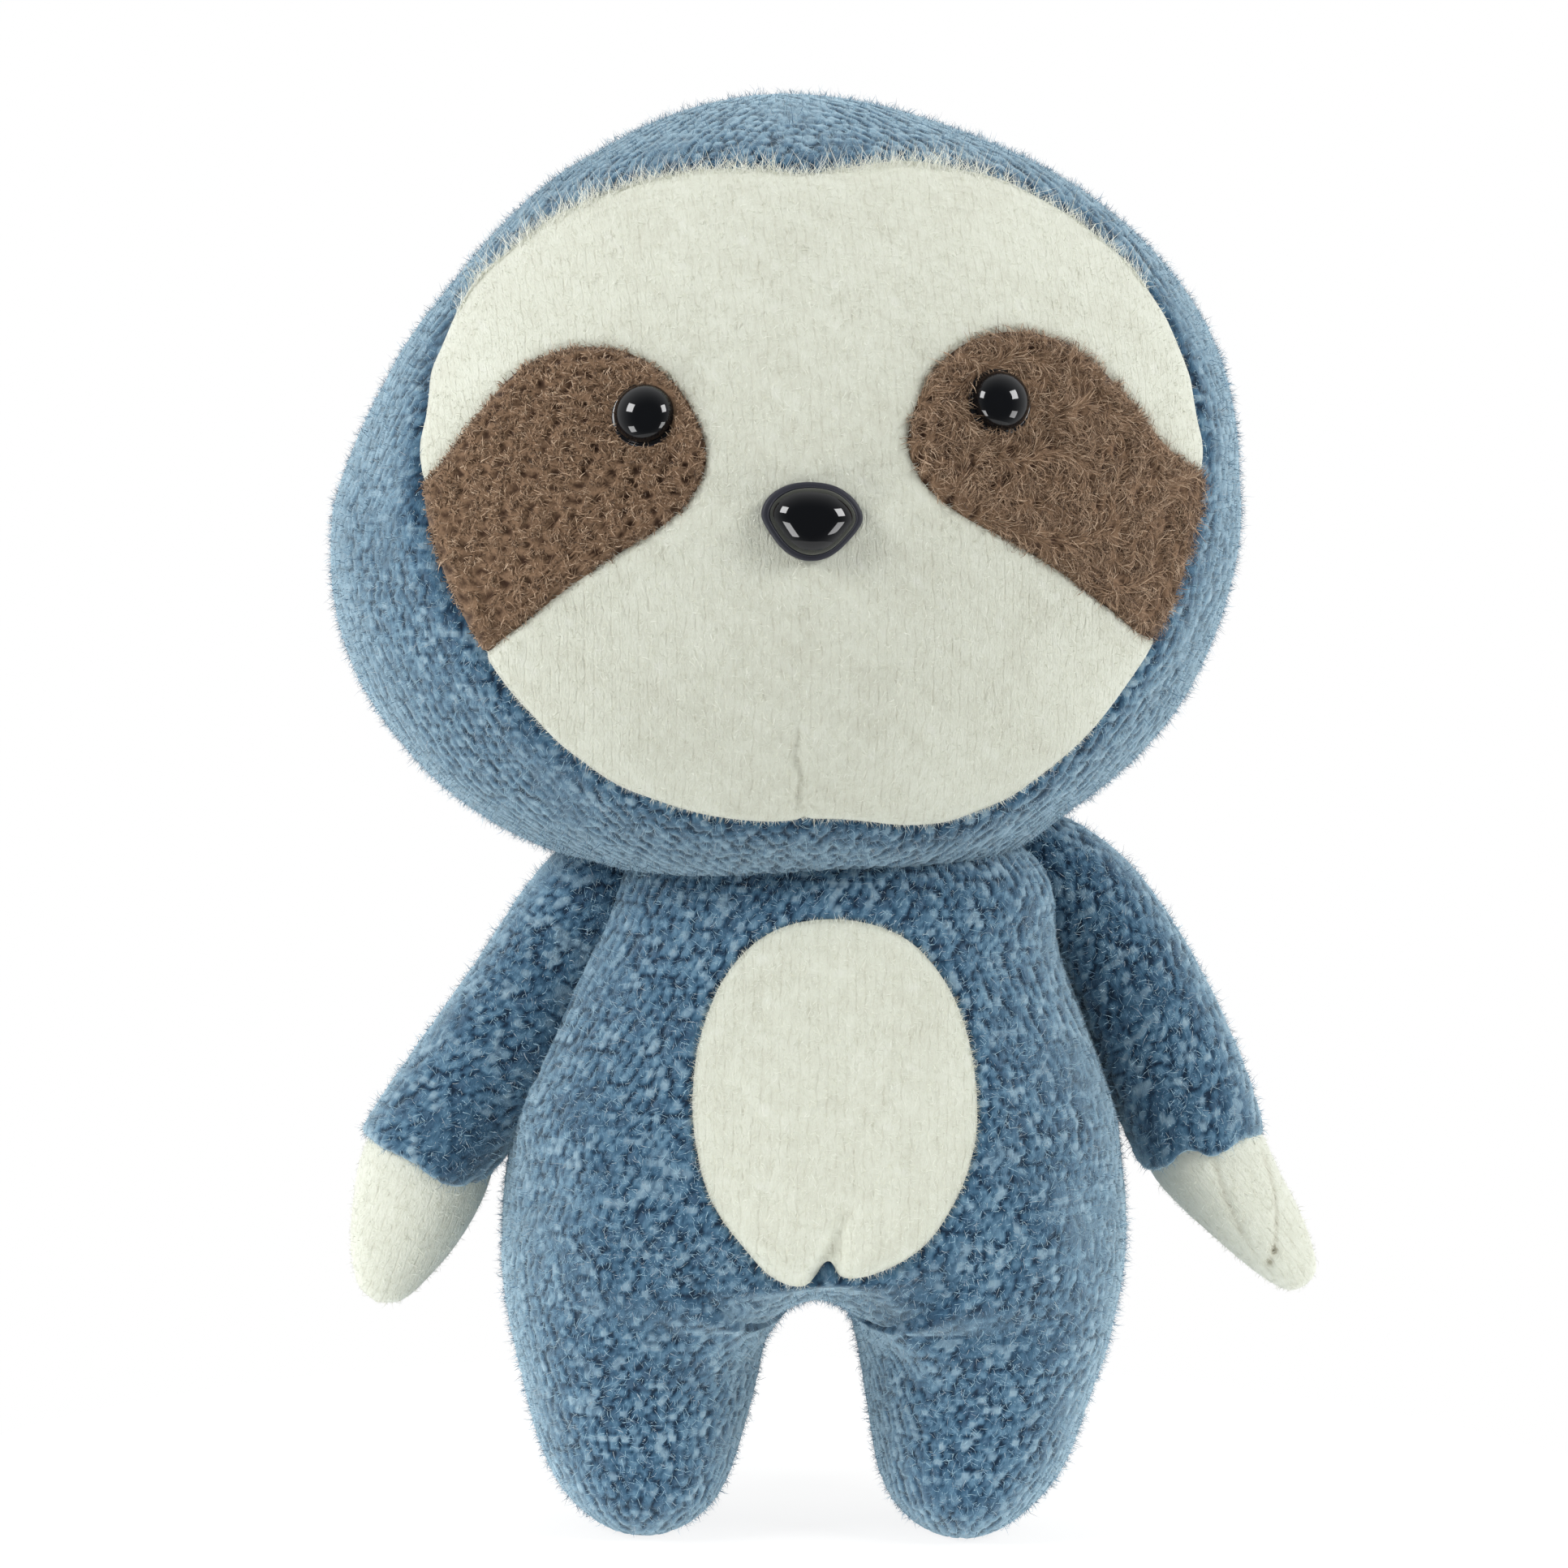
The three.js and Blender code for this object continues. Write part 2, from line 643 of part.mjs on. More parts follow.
// Legs
function legForm(inset, side) {
  const fine = inset <= 0;
  return fine
    ? closedForm(legRows, legColumns, legPoint(inset, side))
    : closedForm(legLiningRows, legLiningColumns, legPoint(inset, side));
}

function makeLeg(name, side) {
  const group = groupAt(new THREE.Vector3(0, -hipForward, hipHeight));
  const room = legRoom(side);
  const outer = legForm(0, side).add(torsoForm(0)).intersect(room).subtract(belowFloor());
  const lining = legForm(skin, side).add(torsoForm(skin));
  const filling = legForm(skin + gap, side).add(torsoForm(skin + gap)).intersect(room);
  addPlacedPiece(group, `leg_cover_${name}`, outer.subtract(lining), materials.blueKnit);
  addPlacedPiece(group, `leg_stuffing_${name}`, filling, materials.fibre);
}

// Shoulder: the seam lies in the plane that touches the torso's side at shoulder height
function shoulderFrame(side) {
  const pointAt = torsoPoint(0);
  const step = 1 / searchSteps;
  let share = 0;
  while (pointAt(share, Math.PI / 2).z < shoulderHeight) {
    share += step;
  }
  const origin = pointAt(share, Math.PI / 2);
  const rise = pointAt(share + step, Math.PI / 2).sub(pointAt(share - step, Math.PI / 2)).normalize();
  const out = new THREE.Vector3(side * rise.z, 0, -rise.x);
  const top = new THREE.Vector3(side * rise.x, 0, rise.z);
  origin.x *= side;
  const depth = new THREE.Vector3().crossVectors(top, out);
  return { origin, out, top, matrix: new THREE.Matrix4().makeBasis(out, depth, top).setPosition(origin) };
}

function plateAt(frame, from, thickness, halfDepth, halfHeight) {
  const plate = new THREE.BoxGeometry(thickness, 2 * halfDepth, 2 * halfHeight);
  plate.translate(from + thickness / 2, 0, 0);
  plate.applyMatrix4(frame.matrix);
  return solidOf(plate);
}

function seamPad(frame) {
  const pad = new THREE.CylinderGeometry(1, 1, seamThickness, seamSegments);
  pad.rotateZ(Math.PI / 2);
  pad.scale(1, seamHalfHeight, seamHalfDepth);
  pad.rotateX(Math.PI / 2);
  pad.translate(gap + seamThickness / 2, 0, 0);
  pad.applyMatrix4(frame.matrix);
  return solidOf(pad);
}

// A line hanging down and out on the arm's side
function hangingLine(splay, side) {
  return new THREE.Vector3(side * Math.sin(splay), 0, -Math.cos(splay));
}

// Where the sleeve hangs from the shoulder and the hand from the cuff
function armPlaces(name, side) {
  const splay = armSplays[name] * degrees;
  const handSplay = handSplays[name] * degrees;
  const start = new THREE.Vector3(side * armOffset, 0, armTop);
  const cuff = start.clone().addScaledVector(hangingLine(splay, side), armLength);
  const handDown = hangingLine(handSplay, side);
  const wrist = cuff.clone().addScaledVector(handDown, -handTuckLength);
  return { splay, handSplay, start, handDown, wrist };
}

function sleeveForm(places, side, inset) {
  const pointAt = hangingPoint(places.start, places.splay, side,
    armHalfWidth, armHalfDepth, armLength, sleeveProfile, cuffFlareWidth, inset);
  return inset <= 0
    ? closedForm(armRows, armColumns, pointAt)
    : closedForm(armLiningRows, armLiningColumns, pointAt);
}

function handForm(places, side, inset) {
  const pointAt = hangingPoint(places.wrist, places.handSplay, side,
    handHalfWidth, handHalfDepth, handLength, handProfile, 0, inset);
  return inset <= 0
    ? closedForm(handRows, handColumns, pointAt)
    : closedForm(handLiningRows, handLiningColumns, pointAt);
}

// The opening between sleeve and hand that their filling runs through
function throat(places, radius) {
  const sideways = new THREE.Vector3().crossVectors(places.handDown, fore);
  const frame = new THREE.Matrix4().makeBasis(sideways, places.handDown, fore).setPosition(places.wrist);
  return rod(radius, -2 * skin, 3 * skin, frame);
}

// What torso and head take up, as the arm sees them over its swing and its lift
function armObstacles(frame, raisePoint, side, sweptHead) {
  const head = joined(Array.from({ length: sweepSteps + 1 }, (_, step) => {
    const swing = THREE.MathUtils.lerp(-armSwingBack, armSwingForward, step / sweepSteps);
    return moved(sweptHead, matrixAbout(frame.origin, frame.out, side * swing * degrees));
  }));
  const torsoAndHead = torsoForm(-gap).add(sweptHead).add(head);
  return joined([0, armRaiseLimit / 2, armRaiseLimit].map((raise) => moved(
    torsoAndHead, matrixAbout(raisePoint, fore, side * raise * degrees))));
}

function makeArm(name, side, sweptHead) {
  const frame = shoulderFrame(side);
  const seamOut = gap + seamThickness;
  const shoulder = frame.origin.clone().addScaledVector(frame.out, gap);
  const raisePoint = frame.origin.clone().addScaledVector(frame.out, seamOut)
    .addScaledVector(frame.top, seamHalfHeight);
  const seamGroup = groupAt(shoulder);
  const armGroup = groupAt(raisePoint);
  addPlacedPiece(seamGroup, `shoulder_seam_${name}`, seamPad(frame), materials.blueKnit);

  const places = armPlaces(name, side);
  const throatRadius = handHalfDepth / 2;
  const free = armObstacles(frame, raisePoint, side, sweptHead);
  const behind = (offset) => plateAt(frame, offset - armLength, armLength, armLength, 2 * armLength);
  const handRoom = handForm(places, side, -gap);
  const sleeveCover = sleeveForm(places, side, 0).subtract(sleeveForm(places, side, skin))
    .subtract(handRoom).subtract(behind(seamOut + gap)).subtract(free);
  const handCover = handForm(places, side, 0).subtract(handForm(places, side, skin))
    .subtract(throat(places, throatRadius + gap));
  const filling = sleeveForm(places, side, skin + gap).subtract(handRoom)
    .subtract(behind(seamOut + 2 * gap)).subtract(free)
    .add(handForm(places, side, skin + gap)).add(throat(places, throatRadius));
  addPlacedPiece(armGroup, `arm_cover_${name}`, sleeveCover, materials.blueKnit);
  addPlacedPiece(armGroup, `hand_${name}`, handCover, materials.creamKnit);
  addPlacedPiece(armGroup, `arm_stuffing_${name}`, filling, materials.fibre);
}

const sweptHead = headSweep();
makeHead();
makeTorso(sweptHead);
for (const [name, side] of Object.entries(sides)) {
  makeLeg(name, side);
  makeArm(name, side, sweptHead);
}

export default sloth;
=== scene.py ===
from functools import partial
import math

import bpy
import numpy as np
from mathutils import Matrix, Vector


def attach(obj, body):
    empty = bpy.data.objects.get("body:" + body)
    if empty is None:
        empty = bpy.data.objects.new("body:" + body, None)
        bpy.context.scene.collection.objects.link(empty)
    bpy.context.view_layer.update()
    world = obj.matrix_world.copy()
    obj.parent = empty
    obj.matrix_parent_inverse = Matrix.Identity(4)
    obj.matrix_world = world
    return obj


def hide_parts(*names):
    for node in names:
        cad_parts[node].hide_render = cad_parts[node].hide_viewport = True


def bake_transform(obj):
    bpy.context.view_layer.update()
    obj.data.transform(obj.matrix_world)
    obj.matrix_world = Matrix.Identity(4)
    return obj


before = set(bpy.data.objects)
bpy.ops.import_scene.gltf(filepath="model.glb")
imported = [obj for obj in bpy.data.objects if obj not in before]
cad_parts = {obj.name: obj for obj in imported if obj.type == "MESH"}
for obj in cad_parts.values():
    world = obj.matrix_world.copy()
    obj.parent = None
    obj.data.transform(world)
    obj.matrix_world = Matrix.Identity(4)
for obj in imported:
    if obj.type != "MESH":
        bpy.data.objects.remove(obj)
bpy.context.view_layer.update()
print("frame loaded")

mm = 0.001                        # shapes are worked out in millimetres and put into the meshes in metres
aboveFloor = 0.05                 # mm, the lowest that a foot or a fibre comes
sides = {"left": 1, "right": -1}  # the toy's own left is +X
fibresPerPiece = 60000            # more fuzz than this goes into a further piece, so that none grows too heavy


# Colours and nodes

# A hex colour as written on a screen, turned to linear light: c/12.92 below 0.04045, else ((c+0.055)/1.055)^2.4
def linear(hexColour):
    parts = [int(hexColour[i:i + 2], 16) / 255 for i in (1, 3, 5)]
    return tuple(c / 12.92 if c <= 0.04045 else ((c + 0.055) / 1.055) ** 2.4 for c in parts) + (1.0,)


# Adds one node. Each socket takes a value, or a link from another socket or from a node's first output;
# stops are a colour ramp's, and settings are the node's own properties.
def addNode(tree, kind, sockets=None, stops=(), **settings):
    node = tree.nodes.new("ShaderNode" + kind)
    for name, value in settings.items():
        setattr(node, name, value)
    elements = node.color_ramp.elements if stops else ()
    while len(elements) < len(stops):
        elements.new(0.5)
    for element, (position, colour) in zip(elements, stops):
        element.position = position
        element.color = linear(colour)
    for name, value in (sockets or {}).items():
        if isinstance(value, bpy.types.Node):
            value = value.outputs[0]
        if isinstance(value, bpy.types.NodeSocket):
            tree.links.new(value, node.inputs[name])
        else:
            node.inputs[name].default_value = value
    return node


# An empty node tree in a new material or world, with addNode bound to it
def startNodes(owner):
    owner.use_nodes = True
    owner.node_tree.nodes.clear()
    return owner, partial(addNode, owner.node_tree)


# Curves and forms

# A smooth curve through rows of numbers, as three.js draws it: centripetal Catmull-Rom.
# Between rows 1 and 2 it is the cubic with the ends' values and the slopes
# (p1-p0)/d0 - (p2-p0)/(d0+d1) + (p2-p1)/d1, with d the square root of the distance between rows.
def smoothThrough(rows, shares, closed=False):
    rows = np.asarray(rows, float)
    count = len(rows) if closed else len(rows) - 1
    before = rows[-1] if closed else 2 * rows[0] - rows[1]
    after = rows[:2] if closed else 2 * rows[-1] - rows[-2]
    ring = np.vstack([before, rows, after])
    place = np.clip(np.asarray(shares, float), 0, 1) * count
    index = np.minimum(place.astype(int), count - 1)
    part = (place - index)[:, None]
    p0, p1, p2, p3 = (ring[index + step] for step in range(4))
    d0, d1, d2 = (np.maximum(np.sqrt(np.linalg.norm(b - a, axis=1)), 1e-6)[:, None]
                  for a, b in ((p0, p1), (p1, p2), (p2, p3)))
    slope1 = ((p1 - p0) / d0 - (p2 - p0) / (d0 + d1) + (p2 - p1) / d1) * d1
    slope2 = ((p2 - p1) / d1 - (p3 - p1) / (d1 + d2) + (p3 - p2) / d2) * d1
    cubic = 2 * p1 - 2 * p2 + slope1 + slope2
    square = -3 * p1 + 3 * p2 - 2 * slope1 - slope2
    return p1 + slope1 * part + square * part ** 2 + cubic * part ** 3


# The same curve closed to an outline of so many points
def outlineThrough(rows, count):
    return smoothThrough(rows, np.arange(count) / count, closed=True)


# A bump of height 1 at zero that falls away as exp(-(x/width)^2)
def bump(x, width):
    return np.exp(-(x / width) ** 2)


# 0 below low, 1 above high, 3t^2-2t^3 between
def ramp(x, low, high):
    t = np.clip((x - low) / (high - low), 0, 1)
    return t * t * (3 - 2 * t)


# A random number from 0 to 1 for each pair of whole numbers: the fraction of a large sine
def hashed(a, b, seed):
    value = np.sin(a * 12.9898 + b * 78.233 + seed * 37.719) * 43758.5453
    return value - np.floor(value)


# Soft lumps of stuffing: the mean of six sine waves that run in different directions
def lumps(points, wavelength, seed):
    rng = np.random.default_rng(seed)
    directions = rng.normal(size=(6, 3))
    directions /= np.linalg.norm(directions, axis=1)[:, None]
    phases = rng.uniform(0, 2 * np.pi, 6)
    lengths = wavelength * rng.uniform(0.7, 1.4, 6)
    return np.sin(points @ (directions / lengths[:, None]).T * 2 * np.pi + phases).mean(axis=1)


# Distance from each point to a closed outline in its plane, negative inside.
# The nearest place on each side is a + clip(((p-a).(b-a))/|b-a|^2, 0, 1) (b-a).
def outlineDistance(points, outline):
    side = np.roll(outline, -1, axis=0) - outline
    end = outline + side
    length2 = (side ** 2).sum(axis=1)
    steep = np.where(side[:, 1] == 0, 1e-9, side[:, 1])
    nearest = np.full(len(points), 1e9)
    inside = np.zeros(len(points), bool)
    batch = 20000  # points worked on at a time, to keep the arrays small
    for first in range(0, len(points), batch):
        p = points[first:first + batch, None, :]
        away = p - outline[None]
        t = np.clip((away * side).sum(axis=2) / length2, 0, 1)[..., None]
        nearest[first:first + batch] = np.linalg.norm(away - side * t, axis=2).min(axis=1)
        crosses = (outline[:, 1] > p[..., 1]) != (end[:, 1] > p[..., 1])
        where = outline[:, 0] + (p[..., 1] - outline[:, 1]) / steep * side[:, 0]
        inside[first:first + batch] = (crosses & (p[..., 0] < where)).sum(axis=1) % 2 == 1
    return np.where(inside, -nearest, nearest)


# So many points round a circle of radius 1, as (cos a, sin a)
def circle(count):
    angle = np.arange(count) / count * 2 * np.pi
    return np.stack([np.cos(angle), np.sin(angle)], axis=1)


# How far an outline lies from a centre in each direction, found by its own angles
def outlineReach(outline, centre, angles):
    away = outline - centre
    own = np.arctan2(away[:, 1], away[:, 0])
    order = np.argsort(own)
    return np.interp(angles, own[order], np.linalg.norm(away, axis=1)[order], period=2 * np.pi)


# Distance on the front of a form to the outline of the panel let into it; far away everywhere else
def panelDistance(points, outline):
    front = points[:, 1] < -1
    away = np.full(len(points), 60.0)
    away[front] = outlineDistance(points[front][:, [0, 2]], outline)
    return away


# Meshes

# Normals of a surface at its points: the sum of its faces' own, each the product of two diagonals or two sides
def pointNormals(points, grid):
    total = np.zeros_like(points)
    for faces, (a, b, c, d) in ((grid["quads"], (0, 2, 1, 3)), (grid["fans"], (0, 1, 0, 2))):
        face = np.cross(points[faces[:, b]] - points[faces[:, a]], points[faces[:, d]] - points[faces[:, c]])
        for corner in faces.T:
            for axis in range(3):
                total[:, axis] += np.bincount(corner, face[:, axis], len(points))
    return total / np.maximum(np.linalg.norm(total, axis=1), 1e-9)[:, None]


# Each point moved out along the surface's normal by its own lift
def raised(points, grid, lift):
    return points + pointNormals(points, grid) * lift[:, None]


# Faces of rows by columns that close round, with the first row drawn to a point, and the last one too if asked
def roundGrid(rows, columns, closedTop):
    row, column = np.meshgrid(np.arange(rows - 1), np.arange(columns), indexing="ij")
    row, column = row.ravel(), column.ravel()
    after = (column + 1) % columns
    quads = np.stack([row * columns + column, row * columns + after,
                      (row + 1) * columns + after, (row + 1) * columns + column], axis=1)
    u = np.stack([column, column + 1, column + 1, column], axis=1) / columns
    v = np.stack([row, row, row + 1, row + 1], axis=1) / (rows - 1)
    around = np.arange(columns)
    nextOne = (around + 1) % columns
    count = rows * columns
    fans = [np.stack([nextOne, around, np.full(columns, count)], axis=1)]
    if closedTop:
        last = count - columns
        fans.append(np.stack([last + around, last + nextOne, np.full(columns, count + 1)], axis=1))
    return {"quads": quads, "fans": np.vstack(fans), "u": u, "v": v}


# The same faces turned to look the other way, for a form whose rows run down or out
def turned(grid):
    return {key: corners[:, ::-1] for key, corners in grid.items()}


# A new smooth mesh object: its points, its faces' corners one after another, and each face's number of corners
def meshObject(name, points, corners, sizes):
    mesh = bpy.data.meshes.new(name)
    mesh.vertices.add(len(points))
    mesh.vertices.foreach_set("co", (points * mm).astype(np.float32).ravel())
    mesh.loops.add(len(corners))
    mesh.loops.foreach_set("vertex_index", corners.astype(np.int32))
    mesh.polygons.add(len(sizes))
    mesh.polygons.foreach_set("loop_start", (np.cumsum(sizes) - sizes).astype(np.int32))
    mesh.polygons.foreach_set("loop_total", sizes)
    mesh.polygons.foreach_set("use_smooth", np.ones(len(sizes), bool))
    mesh.update()
    piece = bpy.data.objects.new(name, mesh)
    bpy.context.scene.collection.objects.link(piece)
    return piece


# Puts a grid into a new object in its material, with a value for each point under each name given.
# Faces without a point to keep are left out.
def makePiece(name, points, grid, material, values=None, keep=None):
    quads, fans, u, v = grid["quads"], grid["fans"], grid["u"], grid["v"]
    values = values or {}
    if keep is not None:
        chosen = keep[quads].any(axis=1)
        quads, u, v, fans = quads[chosen], u[chosen], v[chosen], fans[keep[fans].any(axis=1)]
        used = np.zeros(len(points), bool)
        used[quads] = used[fans] = True
        place = np.cumsum(used) - 1
        points, quads, fans = points[used], place[quads], place[fans]
        values = {key: value[used] for key, value in values.items()}
    sizes = np.concatenate([np.full(len(quads), 4), np.full(len(fans), 3)]).astype(np.int32)
    piece = meshObject(name, points, np.concatenate([quads.ravel(), fans.ravel()]), sizes)
    mesh = piece.data
    flat = np.zeros((len(mesh.loops), 2), np.float32)
    flat[:len(quads) * 4] = np.stack([u.ravel(), v.ravel()], axis=1)
    mesh.uv_layers.new(name="OFBake").data.foreach_set("uv", flat.ravel())
    for key, value in values.items():
        mesh.attributes.new(key, "FLOAT", "POINT").data.foreach_set("value", value.astype(np.float32))
    mesh.materials.append(material)
    mesh.validate()
    return piece


# What the fuzz is planted on: the points, faces and normals of a finished piece
def surfaceOf(points, grid):
    return {"points": points, "quads": grid["quads"], "normals": pointNormals(points, grid)}


# A stuffed piece stands for its CAD solids, which are hidden; its fill is not used
def standsFor(piece, fill, *nodes):
    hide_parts(*nodes)


# Pieces that ride one body
def onBody(pieces, body):
    for piece in pieces:
        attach(piece, body)


# Knit and pile

knit = {
    "rowPitch": 1.46,       # mm from one row of stitches to the next
    "beadPitch": 1.86,      # mm from one stitch to the next in its row
    "gridPerRow": 2.4,      # mesh rows to a row of stitches
    "columnSpacing": 0.59,  # mm between mesh columns at the widest place
    "blueHeight": 0.31,     # mm that a stitch stands up
    "creamHeight": 0.14,
    "ribPitch": 1.45,       # mm across one rib
    "bead": (0.54, 0.70),   # a bead's half width in stitches and half height in rows
    "jitter": (0.48, 0.54), # how far it may be out of place, in the same measures
    "haze": 0.42,           # most of the relief that brushing hides
    "hazeLevel": 0.62,      # the plain level it leaves
    "cloud": 17.0,          # mm across a brushed cloud
    "seamWidth": 0.7,       # mm, half the width of a plain seam
    "turnedIn": 2.6,        # mm of fabric that is kept past the edge of a window
}


# Stitches as oval beads in rows, each row set half a stitch on from the last and wavering a little.
# A bead is 1 - (across/half width)^2 - (along/half height)^2 from its own middle, and the fabric is the highest
# bead at each place, its top rubbed flat so that only the junctions stay deep. tone is that bead's random number.
def stitches(made, seed):
    across, counts = made["across"], made["counts"]
    along = made["along"] + 0.34 * np.sin(across * counts[0] * 0.9 + seed) * np.sin(made["along"] * 0.47 + seed)
    height = np.zeros(len(across))
    tone = np.full(len(across), 0.5)
    base = np.floor(along)
    for rowStep in (0, 1):
        row = base + rowStep
        count = counts[np.clip(row.astype(int), 0, len(counts) - 1)]
        place = across * count + 0.5 * (row % 2) + hashed(row, 3.0, seed) * 0.3
        first = np.floor(place)
        for stitchStep in (0, 1):
            stitch = (first + stitchStep) % count
            chance = hashed(row, stitch, seed)
            lean = hashed(row, stitch, seed + 5)
            dx = place - first - stitchStep + (chance - 0.5) * knit["jitter"][0]
            dy = along - row + (lean - 0.5) * knit["jitter"][1]
            dx = dx + (lean - 0.35) * 0.3 * dy
            size = 0.78 + 0.40 * hashed(row, stitch, seed + 9)
            bead = (1 - (dx / knit["bead"][0]) ** 2 - (dy / knit["bead"][1]) ** 2) * size
            taller = bead > height
            height = np.where(taller, bead, height)
            tone = np.where(taller, chance, tone)
    return 0.55 * ramp(height, 0.02, 0.6) + 0.45 * np.clip(height, 0, 1.2), tone


# Where the fabric is brushed the stitches are half hidden: relief fades towards a plain level in soft clouds
def brushedStitches(made, points, seed, cloudSeed):
    beads, tone = stitches(made, seed)
    haze = ramp(lumps(points, knit["cloud"], cloudSeed), 0.0, 0.5) * knit["haze"]
    return beads * (1 - haze) + knit["hazeLevel"] * haze, tone


# The unevenness of a piece's stuffing: its height times lumps of its wavelength and seed
def stuffing(points, part):
    height, wavelength, seed = part["stuffing"]
    return height * lumps(points, wavelength, seed)


# A plain seam: a groove of its depth times exp(-(x/width)^2)
def plainSeam(across, depth):
    return depth * bump(across, knit["seamWidth"])


# A closed form from foot to top: half width, front and back depth, height and sideways middle at each level
def makeForm(wide, front, back, high, middle=None):
    middle = np.zeros_like(wide) if middle is None else middle
    step = np.sqrt(np.gradient(high) ** 2 + np.gradient((wide + (front + back) / 2) / 2) ** 2)
    along = np.cumsum(step) - step[0]
    return {"wide": wide, "front": front, "back": back, "high": high, "middle": middle, "along": along}


# Rows of shares (width, depth where it has its own, height) smoothed to so many levels, one array for each
def levelsOf(shares, count):
    return smoothThrough(shares, np.linspace(0, 1, count)).T


# A form's measures at given heights
def formAt(form, z, keys):
    order = np.argsort(form["high"])
    return [np.interp(z, form["high"][order], form[key][order]) for key in keys]


# Angle round an oval section at each share of its length: its speed is sqrt((w cos a)^2 + (d sin a)^2)
def ovalAngles(shares, wide, front, back):
    angle = np.linspace(0, 2 * np.pi, 721)
    depth = np.where(np.cos(angle) > 0, front, back)
    speed = np.sqrt((wide * np.cos(angle)) ** 2 + (depth * np.sin(angle)) ** 2)
    length = np.concatenate([[0], np.cumsum((speed[1:] + speed[:-1]) / 2)])
    return np.interp(shares, length / length[-1], angle), length[-1] * (angle[1] - angle[0])


# Points of a form on a grid that keeps an even spacing up and round it:
# x = middle + wide sin(a), y = -depth cos(a), z = high. The rows of stitches follow the levels.
# cloth is the place on the fabric in millimetres: round it from the front, and up it.
def formGrid(form, columns=None, openTop=False):
    total = form["along"][-1]
    rowCount = max(int(total / knit["rowPitch"]), 4)
    rows = max(int(rowCount * knit["gridPerRow"]), 8)
    widest = int(np.argmax(form["wide"]))
    oval = form["wide"][widest], form["front"][widest], form["back"][widest]
    girth = ovalAngles(np.array([0.0]), *oval)[1]
    columns = columns or int(girth / knit["columnSpacing"])
    along = np.linspace(0, total, rows + 1)[1:] if openTop else np.linspace(0, total, rows + 2)[1:-1]
    share = np.arange(columns) / columns
    a = np.tile(ovalAngles(share, *oval)[0], len(along))
    wide, front, back, high, middle = (np.repeat(np.interp(along, form["along"], form[key]), columns)
                                       for key in ("wide", "front", "back", "high", "middle"))
    depth = np.where(np.cos(a) > 0, front, back)
    points = np.stack([middle + wide * np.sin(a), -depth * np.cos(a), high], axis=1)
    poles = [[form["middle"][end], 0, form["high"][end]] for end in ((0,) if openTop else (0, -1))]

    # The poles' own values follow the others': 0 at the first and top at the last
    def withPoles(values, top=0.0):
        return np.concatenate([values, [0.0, top][:len(poles)]])

    across = withPoles(np.tile(share, len(along)))
    up = withPoles(np.repeat(along, columns) / knit["rowPitch"], total / knit["rowPitch"])
    levels = np.interp(np.arange(rowCount + 3) * knit["rowPitch"], form["along"], form["wide"] / oval[0])
    return {
        "points": np.vstack([points, poles]), "grid": roundGrid(len(along), columns, not openTop),
        "across": across, "along": up, "angle": withPoles(a),
        "counts": np.maximum(np.round(levels * girth / knit["beadPitch"]), 5),
        "cloth": {"across": (across - (across > 0.5)) * girth * withPoles(wide) / oval[0],
                  "along": up * knit["rowPitch"]},
    }


# A disc of rings from a centre out to the nearest of some outlines, in the plane the panel is cut in
def discGrid(centre, outlines, spacing, grow):
    girth = np.linalg.norm(np.roll(outlines[0], -1, axis=0) - outlines[0], axis=1).sum()
    columns = int(girth / spacing)
    angles = np.arange(columns) / columns * 2 * np.pi
    radius = np.min([outlineReach(outline, centre, angles) for outline in outlines], axis=0) + grow
    rings = int(radius.max() / spacing)
    r = ((np.arange(rings) + 1) / rings)[:, None] * radius[None]
    flat = np.stack([centre[0] + r * np.cos(angles), centre[1] + r * np.sin(angles)], axis=-1).reshape(-1, 2)
    return np.vstack([flat, [centre]]), turned(roundGrid(rings, columns, False))


# Directions that swirl slowly over a surface, so that neighbouring fibres lie the same way
def swirls(points, wavelength, seed):
    turn = 2.6 * np.pi * lumps(points, wavelength, seed)
    return np.stack([np.cos(turn), np.zeros(len(points)), np.sin(turn)], axis=1)


